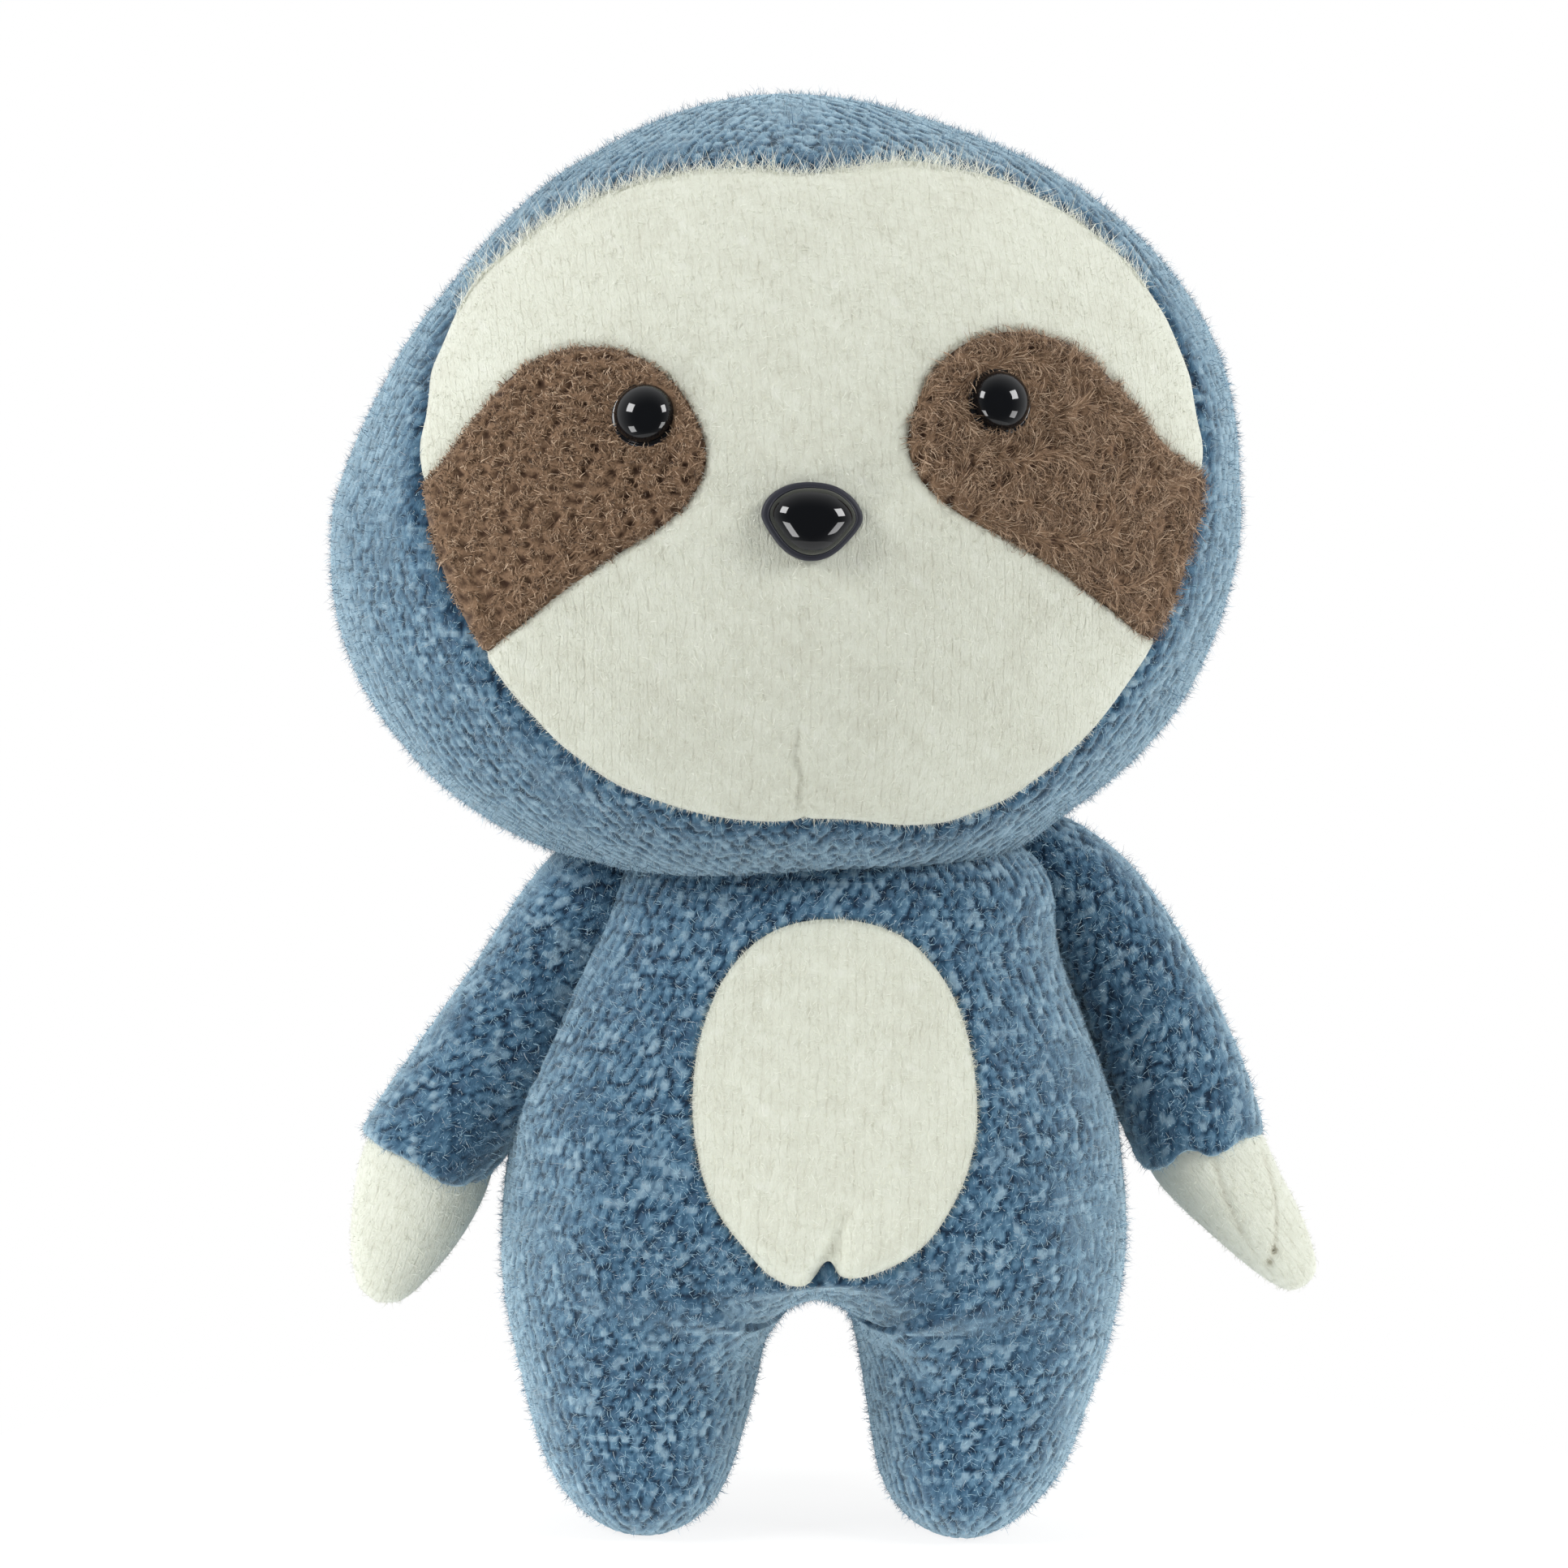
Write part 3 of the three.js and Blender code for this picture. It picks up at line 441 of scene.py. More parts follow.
# Fuzz: short fibres that stand on a surface. Each is a ribbon root-middle-tip that bends over by its curl:
# middle = root + (n cos(l) + t sin(l)) L/2, tip = middle + (n cos(l+c) + t sin(l+c)) L/2,
# drawn as a four-sided foot and a three-sided tip on five points.
def makeFuzz(name, surface, settings, mask=None, comb=None):
    points, quads, normals = surface["points"], surface["quads"], surface["normals"]
    rng = np.random.default_rng(settings["seed"])
    if mask is not None:
        quads = quads[mask[quads].all(axis=1)]
    corner = [points[quads[:, i]] for i in range(4)]
    area = np.linalg.norm(np.cross(corner[2] - corner[0], corner[3] - corner[1]), axis=1) / 2
    count = int(area.sum() * settings["density"])
    chosen = np.searchsorted(np.cumsum(area) / area.sum(), rng.random(count)).clip(0, len(quads) - 1)
    a, b = rng.random((count, 1)), rng.random((count, 1))
    weights = [(1 - a) * (1 - b), a * (1 - b), a * b, (1 - a) * b]
    root = sum(w * points[quads[chosen, i]] for i, w in enumerate(weights))
    normal = sum(w * normals[quads[chosen, i]] for i, w in enumerate(weights))
    normal /= np.linalg.norm(normal, axis=1)[:, None]
    wish = rng.normal(size=(count, 3))
    if comb is not None:
        wish = wish * settings["stray"] + comb(root)
    if "swirl" in settings:
        wish = wish * settings["stray"] + swirls(root, settings["swirl"], settings["seed"])
    tangent = wish - (wish * normal).sum(axis=1)[:, None] * normal
    tangent /= np.maximum(np.linalg.norm(tangent, axis=1), 1e-6)[:, None]
    low, high = settings["length"]
    length = (low + (high - low) * rng.random(count) ** 2)[:, None]
    lean = np.radians(rng.uniform(*settings["lean"], count))[:, None]
    curl = np.radians(rng.uniform(*settings["curl"], count))[:, None]
    first = normal * np.cos(lean) + tangent * np.sin(lean)
    second = normal * np.cos(lean + curl) + tangent * np.sin(lean + curl)
    swing = rng.normal(size=(count, 3)) * settings["width"] * 3
    middle = root + first * length / 2
    tip = middle + second * length / 2 + swing
    side = np.cross(first, normal) + rng.normal(size=(count, 3)) * 0.2
    side /= np.linalg.norm(side, axis=1)[:, None]
    half = settings["width"] / 2 * rng.uniform(0.7, 1.3, (count, 1))
    root = root - normal * 0.1
    ribbon = np.stack([root - side * half, root + side * half,
                       middle + side * half * 0.8, middle - side * half * 0.8, tip], axis=1)
    ribbon[:, :, 2] = np.maximum(ribbon[:, :, 2], aboveFloor)
    shades = fibres[settings["fibre"]]
    kinds = rng.choice(len(shades), count, p=settings["mix"]).astype(np.int32)
    shares = np.array_split(np.arange(count), max(1, math.ceil(count / fibresPerPiece)))
    pieces = []
    for number, chosen in enumerate(shares):
        foot = np.arange(len(chosen))[:, None] * 5
        corners = np.concatenate([(foot + [0, 1, 2, 3]).ravel(), (foot + [3, 2, 4]).ravel()])
        sizes = np.repeat([4, 3], len(chosen)).astype(np.int32)
        pieceName = name if len(shares) == 1 else name + "_" + str(number + 1)
        piece = meshObject(pieceName, ribbon[chosen].reshape(-1, 3), corners, sizes)
        for material in shades:
            piece.data.materials.append(material)
        piece.data.polygons.foreach_set("material_index", np.tile(kinds[chosen], 2))
        pieces.append(piece)
    return pieces


fuzzKinds = {
    "blue": {"fibre": "blue", "density": 2.7, "length": (0.7, 2.2), "lean": (25, 82), "curl": (-20, 50),
             "width": 0.08, "mix": [0.38, 0.30, 0.20, 0.12]},
    "cream": {"fibre": "cream", "density": 3.0, "length": (0.5, 1.8), "lean": (45, 85), "curl": (0, 30),
              "width": 0.07, "mix": [0.45, 0.35, 0.20]},
    "pileLeft": {"fibre": "brown", "density": 10.0, "length": (1.6, 4.0), "lean": (35, 80), "curl": (10, 75),
                 "width": 0.11, "mix": [0.12, 0.28, 0.28, 0.20, 0.12], "stray": 0.6, "swirl": 9.0, "pit": 0.1},
    "pileRight": {"fibre": "brown", "density": 9.0, "length": (1.0, 2.6), "lean": (20, 70), "curl": (50, 140),
                  "width": 0.15, "mix": [0.10, 0.34, 0.34, 0.16, 0.06], "stray": 0.9, "swirl": 4.0, "pit": 0.3},
    "brow": {"fibre": "cream", "density": 9.0, "length": (1.8, 6.4), "lean": (50, 84), "curl": (-25, 20),
             "width": 0.085, "mix": [0.8, 0.2, 0.0], "stray": 0.35},
    "edge": {"fibre": "cream", "density": 12.0, "length": (0.6, 1.9), "lean": (40, 80), "curl": (-10, 25),
             "width": 0.065, "mix": [0.5, 0.35, 0.15], "stray": 0.5},
}


# One kind of fuzz with a random seed of its own
def fuzzOf(kind, seed):
    return dict(fuzzKinds[kind], seed=seed)


# Hairs at a panel's edge are combed outward from its middle, over the seam
def outwardFrom(middle):
    return lambda root: (root - middle) / np.linalg.norm(root - middle, axis=1)[:, None]


# Fabrics

# Lambswool-blend knit, machine knitted and brushed: matt and soft, with a sheen and a painted sheen that lighten
# its edges.
# Colour runs from painted shade in the gaps between stitches to painted light on their tops; each stitch has its
# own tone.
# Streaks of brushed fibre and thin broken grooves run up the fabric, over its own millimetres.
def knitMaterial(name, look):
    material, add = startNodes(bpy.data.materials.new(name))
    relief, tone, across, along = (add("Attribute", attribute_name=key).outputs["Fac"]
                                   for key in ("relief", "tone", "across", "along"))
    place = add("TexCoord").outputs["Object"]
    cloth = add("CombineXYZ", {"X": across, "Y": along})
    drawn = add("Mapping", {"Vector": cloth, "Scale": (1.0, 0.42, 1.0)})
    # A brushed tuft, about 0.4 by 1 mm; uneven dye, about 11 mm; how far a groove wanders, about 3 mm;
    # and where a groove shows, about 1 by 2.5 mm
    fibre = add("TexNoise", {"Vector": drawn, "Scale": 2.5, "Detail": 3.0, "Roughness": 0.75})
    cloud = add("TexNoise", {"Vector": place, "Scale": 90.0, "Detail": 2.0})
    waver = add("TexNoise", {"Vector": cloth, "Scale": 0.3, "Detail": 1.0})
    broken = add("TexNoise", {"Vector": drawn, "Scale": 0.95, "Detail": 1.0})
    rib = add("Math", {0: across, 1: 1 / knit["ribPitch"], 2: waver}, operation="MULTIPLY_ADD")
    aside = add("Math", {0: rib, 1: 0.5}, operation="PINGPONG")
    groove = add("MapRange", {"Value": aside, "From Min": 0.17, "From Max": 0.0}, interpolation_type="SMOOTHSTEP")
    shown = add("MapRange", {"Value": broken, "From Min": 0.42, "From Max": 0.68,
                             "To Min": 0.25 * look["groove"], "To Max": look["groove"]})
    line = add("Math", {0: groove, 1: shown}, operation="MULTIPLY")
    cut = add("Math", {0: relief, 1: line}, operation="SUBTRACT")
    total = add("Math", {0: cut, 1: 0.7}, operation="MULTIPLY")
    for source, share in ((fibre, look["grain"]), (tone, look["shades"]), (cloud, look["clouds"])):
        part = add("Math", {0: source, 1: share, 2: -0.5 * share}, operation="MULTIPLY_ADD")
        total = add("Math", {0: total, 1: part}, operation="ADD")
    # The stops run from painted shade for the deep gaps to painted light for the stitches' tops
    mixed = add("ValToRGB", {"Fac": total}, look["stops"])
    # The palest and the darkest stitches: a range of tone, and how much colour it takes
    for first, last, most, colour in ((0.72, 0.90, 0.48, "fleck"), (0.2, 0.05, 0.4, "dusk")):
        mask = add("MapRange", {"Value": tone, "From Min": first, "From Max": last, "To Max": most})
        onTop = add("Math", {0: mask, 1: relief}, operation="MULTIPLY")
        mixed = add("Mix", {0: onTop, 6: mixed, 7: linear(look[colour])}, data_type="RGBA").outputs[2]
    # Painted sheen: the colour is lightened towards the tint where the fabric is seen edge-on, by facing to the
    # power 2.3, less in the gaps between stitches
    facing = add("LayerWeight", {"Blend": 0.5}).outputs["Facing"]
    edge = add("Math", {0: facing, 1: 2.3}, operation="POWER")
    paintedSheen = add("Math", {0: edge, 1: look["paintedSheen"]}, operation="MULTIPLY")
    standing = add("MapRange", {"Value": relief, "From Max": 0.5, "To Min": 0.35})
    over = add("Math", {0: paintedSheen, 1: standing}, operation="MULTIPLY")
    withPaintedSheen = add("Mix", {0: over, 6: mixed, 7: linear(look["tint"])}, data_type="RGBA").outputs[2]
    depth = add("Math", {0: fibre, 1: line}, operation="SUBTRACT")
    bumped = add("Bump", {"Height": depth, "Strength": 0.6, "Distance": look["bump"] * mm})
    shader = add("BsdfPrincipled", {
        "Base Color": withPaintedSheen, "Normal": bumped, "Roughness": 0.95, "Specular IOR Level": 0.15,
        "Sheen Weight": look["sheen"], "Sheen Roughness": 0.4, "Sheen Tint": linear(look["tint"])})
    add("OutputMaterial", {"Surface": shader})
    return material


blueKnit = knitMaterial("brushed blue wool knit", {
    "stops": [(0.04, "#182A3E"), (0.26, "#2B4962"), (0.50, "#446680"), (0.74, "#678AA1"), (1.0, "#A1BAC8")],
    "fleck": "#9DB2BE", "dusk": "#43566E", "grain": 0.50, "shades": 0.34, "clouds": 0.30, "groove": 0.12,
    "paintedSheen": 0.92, "sheen": 0.85, "tint": "#C1DCE9", "bump": 0.55})
creamKnit = knitMaterial("brushed cream wool knit", {
    "stops": [(0.10, "#ABA997"), (0.34, "#CBCCBD"), (0.58, "#D8DBCD"), (0.92, "#E4E7DC")],
    "fleck": "#E0E2D9", "dusk": "#D0D0C2", "grain": 0.50, "shades": 0.12, "clouds": 0.3, "groove": 0.30,
    "paintedSheen": 0.42, "sheen": 0.3, "tint": "#F2F4EE", "bump": 0.38})


# Short-pile plush base, cut and brushed: painted shade in the pits between its tufts, browner on them, quite matt
def pileMaterial():
    material, add = startNodes(bpy.data.materials.new("brown tufted pile"))
    relief = add("Attribute", attribute_name="relief").outputs["Fac"]
    place = add("TexCoord").outputs["Object"]
    tuft = add("TexNoise", {"Vector": place, "Scale": 3000.0, "Detail": 2.0})  # single tufts, 0.3 mm
    level = add("Math", {0: relief, 1: tuft}, operation="MULTIPLY")
    brown = add("ValToRGB", {"Fac": level}, [(0.0, "#3D2A1E"), (0.5, "#866C55")])
    shader = add("BsdfPrincipled", {
        "Base Color": brown, "Roughness": 0.95, "Specular IOR Level": 0.15, "Sheen Weight": 0.2})
    add("OutputMaterial", {"Surface": shader})
    return material


# Single fibres of the pile and the fuzz: one dye shade each, matt with a soft edge light.
# The variety comes from the mix of shades over thousands of fibres.
def fibreMaterial(name, colour, sheen):
    material, add = startNodes(bpy.data.materials.new(name))
    shader = add("BsdfPrincipled", {
        "Base Color": linear(colour), "Roughness": 0.8, "Specular IOR Level": 0.2, "Sheen Weight": sheen})
    add("OutputMaterial", {"Surface": shader})
    return material


brownPile = pileMaterial()
fibreShades = {
    "blue": (0.3, {"light": "#A0BFCE", "clear": "#7799B1", "deep": "#4C6D88", "grey": "#A9B6BE"}),
    "cream": (0.3, {"white": "#EAECE2", "warm": "#DADBCB", "shaded": "#C6C7B7"}),
    "brown": (0.15, {"pale": "#C9B096", "light": "#AD9278", "middle": "#8F755D", "plain": "#745D49",
                     "dark": "#49362A"}),
}
fibres = {kind: [fibreMaterial(kind + " fibre, " + word, colour, sheen) for word, colour in shades.items()]
          for kind, (sheen, shades) in fibreShades.items()}


# Injection-moulded plastic: the eyes and nose are ABS with a clear lacquer, near black and mirror-smooth,
# so that lamps show in them as crisp squares; their rims and the washers are matt
def plasticMaterial(name, colour, roughness, coat):
    material, add = startNodes(bpy.data.materials.new(name))
    place = add("TexCoord").outputs["Object"]
    flow = add("TexNoise", {"Vector": place, "Scale": 500.0, "Detail": 2.0})  # faint mould flow, 2 mm
    bumped = add("Bump", {"Height": flow, "Strength": 0.05, "Distance": 0.02 * mm})
    shader = add("BsdfPrincipled", {
        "Base Color": linear(colour), "Normal": bumped, "Roughness": roughness, "IOR": 1.54,
        "Specular IOR Level": 0.2, "Coat Weight": coat, "Coat Roughness": 0.02, "Coat IOR": 1.5})
    add("OutputMaterial", {"Surface": shader})
    return material


glossBlack = plasticMaterial("black glossy ABS", "#07090D", 0.06, 0.38)
mattBlack = plasticMaterial("black matt ABS rim", "#34353D", 0.45, 0.0)
whitePlastic = plasticMaterial("white nylon washer", "#E6E6E2", 0.5, 0.0)
print("materials made")


# Head

head = {
    "halfWidth": 70.7, "front": 52.0, "back": 58.5, "height": 125.2, "sink": 1.5,
    "shift": 3.3, "tilt": 3.3, "turn": 3.5, "lean": 0.082, "jowl": 0.026, "hang": 2.4, "hangAt": 26,
    "hangWidth": 17, "neckHeight": 105.0, "fullness": [1.24, 1.118, 1.042, 0.978, 0.892, 0.66], "fill": 0.9,
    "seam": (0.75, 0.7, 0.45, 3.2),  # mm: depth and width of the groove, height of the swell and its distance
    "stuffing": (0.55, 26.0, 7),     # mm high and long, and the seed
}


# The head's own places put into the toy: tilt about Y, turn about Z, then lift to the neck
def placeHead(points):
    tilt, turn = math.radians(-head["tilt"]), math.radians(head["turn"])
    about = np.array([[math.cos(tilt), 0, math.sin(tilt)], [0, 1, 0], [-math.sin(tilt), 0, math.cos(tilt)]])
    spin = np.array([[math.cos(turn), -math.sin(turn), 0], [math.sin(turn), math.cos(turn), 0], [0, 0, 1]])
    return points @ (spin @ about).T + np.array([-head["shift"], 0, head["neckHeight"]])


# How full the head's ring is at each share of the way from its foot to its crown
def fullness(share):
    return smoothThrough([[f, 0] for f in head["fullness"]], share)[:, 0]


# Polar angle from the foot at each height: acos(1 - 2 (z + sink) / height)
def polarAt(z):
    return np.arccos(np.clip(1 - 2 * (z + head["sink"]) / head["height"], -1, 1))


# How much the crown leans to the toy's left and the jowls to its right, at each polar angle
def crownLean(polar):
    return np.where(polar > np.pi / 2, head["lean"], head["jowl"]) * np.sin(2 * (polar - np.pi / 2))


# Front of the head over a place across and up: y = -front ring cos(a), with x = W ring sin(a)
# and ring = sin(polar) fullness (1 + lean sin(a)), solved for sin(a)
def headFront(flat):
    x, z = flat[:, 0], flat[:, 1]
    polar = polarAt(z)
    ring = np.sin(polar) * fullness(polar / np.pi)
    lean = crownLean(polar)
    wanted = x / (head["halfWidth"] * ring)
    leaning = np.abs(lean) > 1e-5
    root = np.sqrt(np.maximum(1 + 4 * lean * wanted, 0))
    s = np.clip(np.where(leaning, (root - 1) / (2 * np.where(leaning, lean, 1)), wanted), -0.999, 0.999)
    return np.stack([x, -head["front"] * ring * (1 + lean * s) * np.sqrt(1 - s * s), z], axis=1)


face = {
    "halfWidth": 60.5, "height": 101.0, "foot": 11.0, "shift": 1.0,
    "shares": [[0, 0.006], [0.24, 0], [0.47, 0.04], [0.70, 0.14], [0.86, 0.27], [0.955, 0.39],
               [1, 0.50], [0.99, 0.63], [0.95, 0.72], [0.85, 0.83], [0.67, 0.925], [0.45, 0.98],
               [0.26, 1], [0.12, 0.996], [0, 0.988]],
    "noseAt": (-3.0, 58.3), "chin": ((-6.0, 28.0), (-4.0, 12.0)), "chinDepth": 1.1,
    "noseDent": (0.9, 9.0), "eyeDent": (0.9, 7.0),  # mm deep and wide
    "wool": (78.0, 21), "turnedIn": 2.5,            # W and the seed, and mm kept past the edge of a patch
    "seam": (0.35, 0.6, 0.2, 3.2), "patchSeam": (0.4, 0.6, 0.1, 2.6), "stuffing": (0.4, 24.0, 9),
    "spacing": 0.7, "grow": 0.9, "fill": 0.85,
}


# Half the face's outline as shares, mirrored to the whole and smoothed.
# Its lower edge hangs a little towards the toy's left: lowered by (0.11 x - 0.2) exp(-(x/30)^2).
def makeFaceOutline():
    middle = face["shift"]
    right = [[x * face["halfWidth"] + middle, face["foot"] + z * face["height"]] for x, z in face["shares"]]
    outline = outlineThrough(right + [[2 * middle - x, z] for x, z in right[1:-1]][::-1], 300)
    x, z = outline.T.copy()
    outline[:, 1] -= (0.11 * x - 0.2) * bump(x, 30) * (1 - ramp(z, 20, 50))
    return outline


# A sewn edge: the fabric swells beside the seam and dives into it
def seamProfile(inside, groove, width, puff, puffAt):
    beside = puff * bump(inside - puffAt, puffAt * 0.75)
    return beside - groove * bump(np.maximum(inside, 0), width) + 1.3 * np.minimum(inside, 0)


# How far the face's seam wanders to either side
def seamWaver(points, away):
    return 0.35 * lumps(points, 9.0, 4) * (np.abs(away) < 12)


patch = {
    "left": {"inset": 12.2, "length": 52.0, "seed": 18}, "right": {"inset": 18.2, "length": 48.5, "seed": 16},
    "height": 48.0, "foot": 37.5, "seam": (0.5, 0.7, 0.60, 2.6), "spacing": 0.6, "grow": 0.7, "fill": 0.6,
    "shares": [[0, 0.66], [0.03, 0.78], [0.10, 0.90], [0.22, 0.98], [0.36, 1], [0.52, 0.95],
               [0.68, 0.80], [0.82, 0.62], [1, 0.44], [1, 0.12], [0.76, 0.0], [0.62, 0.10],
               [0.46, 0.23], [0.30, 0.34], [0.14, 0.44], [0.04, 0.54]],
}


# A patch's outline through its shares: inset + x length across, foot + z height up
def patchOutline(side, sign):
    return outlineThrough([[sign * (patch[side]["inset"] + x * patch[side]["length"]),
                            patch["foot"] + z * patch["height"]] for x, z in patch["shares"]], 240)


faceOutline = makeFaceOutline()
patchOutlines = {side: patchOutline(side, sign) for side, sign in sides.items()}

eye = {
    "spacing": 26.8, "level": 75.0, "radius": 5.1, "dome": 3.6, "rim": 0.9, "domeRadius": 4.6, "sunk": -0.6,
    "pressed": (5.8, 7.4),  # mm from its middle, where the pile round it lies flat and where it stands
}
nose = {
    "halfWidth": 7.6, "height": 11.8, "dome": 4.2, "rim": 1.0, "domeShare": 0.87, "sunk": -0.5,
    "shares": [[0, 1], [0.50, 0.94], [0.88, 0.75], [1, 0.54], [0.75, 0.28], [0.36, 0.06],
               [-0.06, 0], [-0.46, 0.09], [-0.80, 0.32], [-1, 0.58], [-0.88, 0.79], [-0.50, 0.955]],
}


# The hood: the whole head form, with the fabric inside the face window taken out and a seam down its back.
# Its foot sags by the hang under the toy's left cheek, as a bell round hangAt.
def makeHood():
    share = np.linspace(0, 1, 500)
    polar = share * np.pi
    ring = np.sin(polar) * fullness(share)
    high = -head["sink"] + head["height"] * (1 - np.cos(polar)) / 2
    made = formGrid(makeForm(head["halfWidth"] * ring, head["front"] * ring, head["back"] * ring, high))
    points, grid = made["points"], made["grid"]
    x, y, z = points.T
    points[:, :2] *= (1 + crownLean(polarAt(z)) * np.sin(made["angle"]))[:, None]
    z -= head["hang"] * bump(x - head["hangAt"], head["hangWidth"]) * (1 - ramp(z, 1, 11))
    away = panelDistance(points, faceOutline)
    beads, tone = brushedStitches(made, points, 11, 301)
    seam = seamProfile(away + seamWaver(points, away), *head["seam"])
    backSeam = plainSeam(x, 0.7) * (y > 0)
    lift = beads * knit["blueHeight"] * ramp(away, -0.5, 0.8) + seam - backSeam + stuffing(points, head)
    shaped = placeHead(raised(points, grid, lift))
    # Painted shade: the stitches' colour darkens towards the hood's foot, by 0.68 + 0.32 ramp(z, 2, 16)
    relief = beads * ramp(away, -0.8, 0.6) * (0.68 + 0.32 * ramp(z, 2, 16))
    piece = makePiece("hood", shaped, grid, blueKnit, dict(made["cloth"], relief=relief, tone=tone),
                      away > -knit["turnedIn"])
    return piece, surfaceOf(shaped, grid), away


# The cream panels: soft unevenness of the wool, the mean of two sets of short waves, and the place on the fabric
# in millimetres, which across the panel follows the arc W asin(x/W)
def wool(flat, halfWidth, seed):
    points = np.stack([flat[:, 0], np.zeros(len(flat)), flat[:, 1]], axis=1)
    height = 0.8 + 0.12 * lumps(points, 2.4, seed) + 0.08 * lumps(points, 5.0, seed + 1)
    cloth = {"across": halfWidth * np.arcsin(np.clip(flat[:, 0] / halfWidth, -1, 1)), "along": flat[:, 1],
             "tone": 0.5 + 0.5 * lumps(points, 3.2, seed + 2)}
    return height, cloth


# A dart or fold drawn as a line: the groove is deepest at its foot and fades to its top by a power of the way up
def foldLine(flat, line, width, spread=0.0, fade=1.3):
    top, foot = np.array(line)
    side = foot - top
    t = np.clip(((flat - top) @ side) / (side @ side), 0, 1)
    near = np.linalg.norm(flat - top - t[:, None] * side, axis=1)
    return bump(near, width + spread * t) * t ** fade


# The middle of an eye on the head's front
def eyeCentre(sign):
    return np.array([sign * eye["spacing"], eye["level"]])


# The front of the head's stuffing: its soft lumps, and the fabric drawn in a little under each eye and the nose
def frontLumps(points, flat):
    dent = 0
    for centre, (depth, width) in ((np.array(face["noseAt"]), face["noseDent"]),
                                   (eyeCentre(1), face["eyeDent"]), (eyeCentre(-1), face["eyeDent"])):
        dent = dent + depth * bump(np.linalg.norm(flat - centre, axis=1), width)
    return stuffing(points, face) - dent


# The face panel, sewn round its edge and round the patches, with the chin's dart as a thin wandering groove
def makeFace():
    flat, grid = discGrid(np.array(face["noseAt"]), [faceOutline], face["spacing"], face["grow"])
    points = headFront(flat)
    away = -outlineDistance(flat, faceOutline)
    patchAway = np.minimum.reduce([outlineDistance(flat, outline) for outline in patchOutlines.values()])
    height, cloth = wool(flat, *face["wool"])
    fade = ramp(away, -0.2, 0.5) * ramp(patchAway, -0.2, 0.5)
    seam = seamProfile(away - seamWaver(points, away), *face["seam"])
    patchSeam = seamProfile(patchAway, *face["patchSeam"])
    wander = np.stack([flat[:, 0] + 0.35 * np.sin(flat[:, 1] * 0.9), flat[:, 1]], axis=1)
    chin = foldLine(wander, face["chin"], 0.8, 0.0, 0.3) * (1 - 0.3 * ramp(-flat[:, 1], -19, -12)) \
        * (0.72 + 0.28 * lumps(points, 2.6, 25))
    lift = height * knit["creamHeight"] * fade + seam + np.maximum(patchSeam, -face["turnedIn"]) \
        - face["chinDepth"] * chin + frontLumps(points, flat)
    shaped = placeHead(raised(points, grid, lift))
    # The colour is darkened in the chin's dart too: painted shade in its groove
    relief = height * (0.5 + 0.5 * fade) - 0.75 * chin ** 2
    piece = makePiece("face", shaped, grid, creamKnit, dict(cloth, relief=relief), patchAway > -face["turnedIn"])
    return piece, surfaceOf(shaped, grid), np.minimum(away, patchAway), flat


# Tufts of the pile: short waves added up, cut so that rounded dark pits are left between the tufts
def tufts(points, seed):
    return ramp(lumps(points, 2.5, seed) + 0.6 * lumps(points, 1.7, seed + 1), -0.62, 0.05)


# An eye patch: a disc round the eye, cut off by the face's edge, flat under the eye's rim
def makePatch(side, sign):
    outline, centre = patchOutlines[side], eyeCentre(sign)
    flat, grid = discGrid(centre, [outline, faceOutline], patch["spacing"], patch["grow"])
    points = headFront(flat)
    away = -np.maximum(outlineDistance(flat, outline), outlineDistance(flat, faceOutline))
    pile = np.maximum(tufts(points, 31 + sign), 1 - ramp(np.linalg.norm(flat - centre, axis=1), *eye["pressed"]))
    lift = 0.5 * pile * ramp(away, 0, 1.2) + seamProfile(away, *patch["seam"]) + frontLumps(points, flat)
    shaped = placeHead(raised(points, grid, lift))
    piece = makePiece("eyePatch_" + side, shaped, grid, brownPile, {"relief": pile})
    return piece, surfaceOf(shaped, grid), away, pile


# Middle, outward, rightward and upward directions of the fabric at a place on the head's front
def frontPlace(x, z):
    step = 0.5
    at = placeHead(headFront(np.array([[x, z], [x + step, z], [x, z + step]])))
    out = np.cross(at[1] - at[0], at[2] - at[0])
    out /= np.linalg.norm(out)
    right = np.cross(np.array([0.0, 0.0, 1.0]), out)
    right /= np.linalg.norm(right)
    return at[0], -out if out[1] > 0 else out, right, np.cross(out, right)


# Rings (share of the outline, height) of a dome: radius cos(t)^narrow, level + height sin(t)^swell
def domeRings(radius, level, height, count, narrow=1.0, swell=1.0):
    turns = [step / count * math.pi / 2 for step in range(1, count)]
    return [(radius * math.cos(t) ** narrow, level + height * math.sin(t) ** swell) for t in turns]


# A moulded cap: rings from its edge to its crown, over an outline in its own plane; the first rings are matt
def makeCap(name, place, outline, rings, mattRings):
    origin, out, right, upward = place
    columns, rings = len(outline), np.array(rings)
    flat = (rings[:, 0, None, None] * outline[None]).reshape(-1, 2)
    heights = np.repeat(rings[:, 1], columns)
    points = origin + flat[:, :1] * right + flat[:, 1:] * upward + heights[:, None] * out
    grid = roundGrid(len(rings), columns, True)
    piece = makePiece(name, np.vstack([points, origin + out * rings[0, 1], origin + out * rings[-1, 1]]), grid,
                      glossBlack)
    piece.data.materials.append(mattBlack)
    kinds = np.repeat(np.arange(len(rings) - 1), columns) < mattRings
    kinds = np.concatenate([kinds, np.ones(columns, bool), np.zeros(columns, bool)]).astype(np.int32)
    piece.data.polygons.foreach_set("material_index", kinds)
    return piece


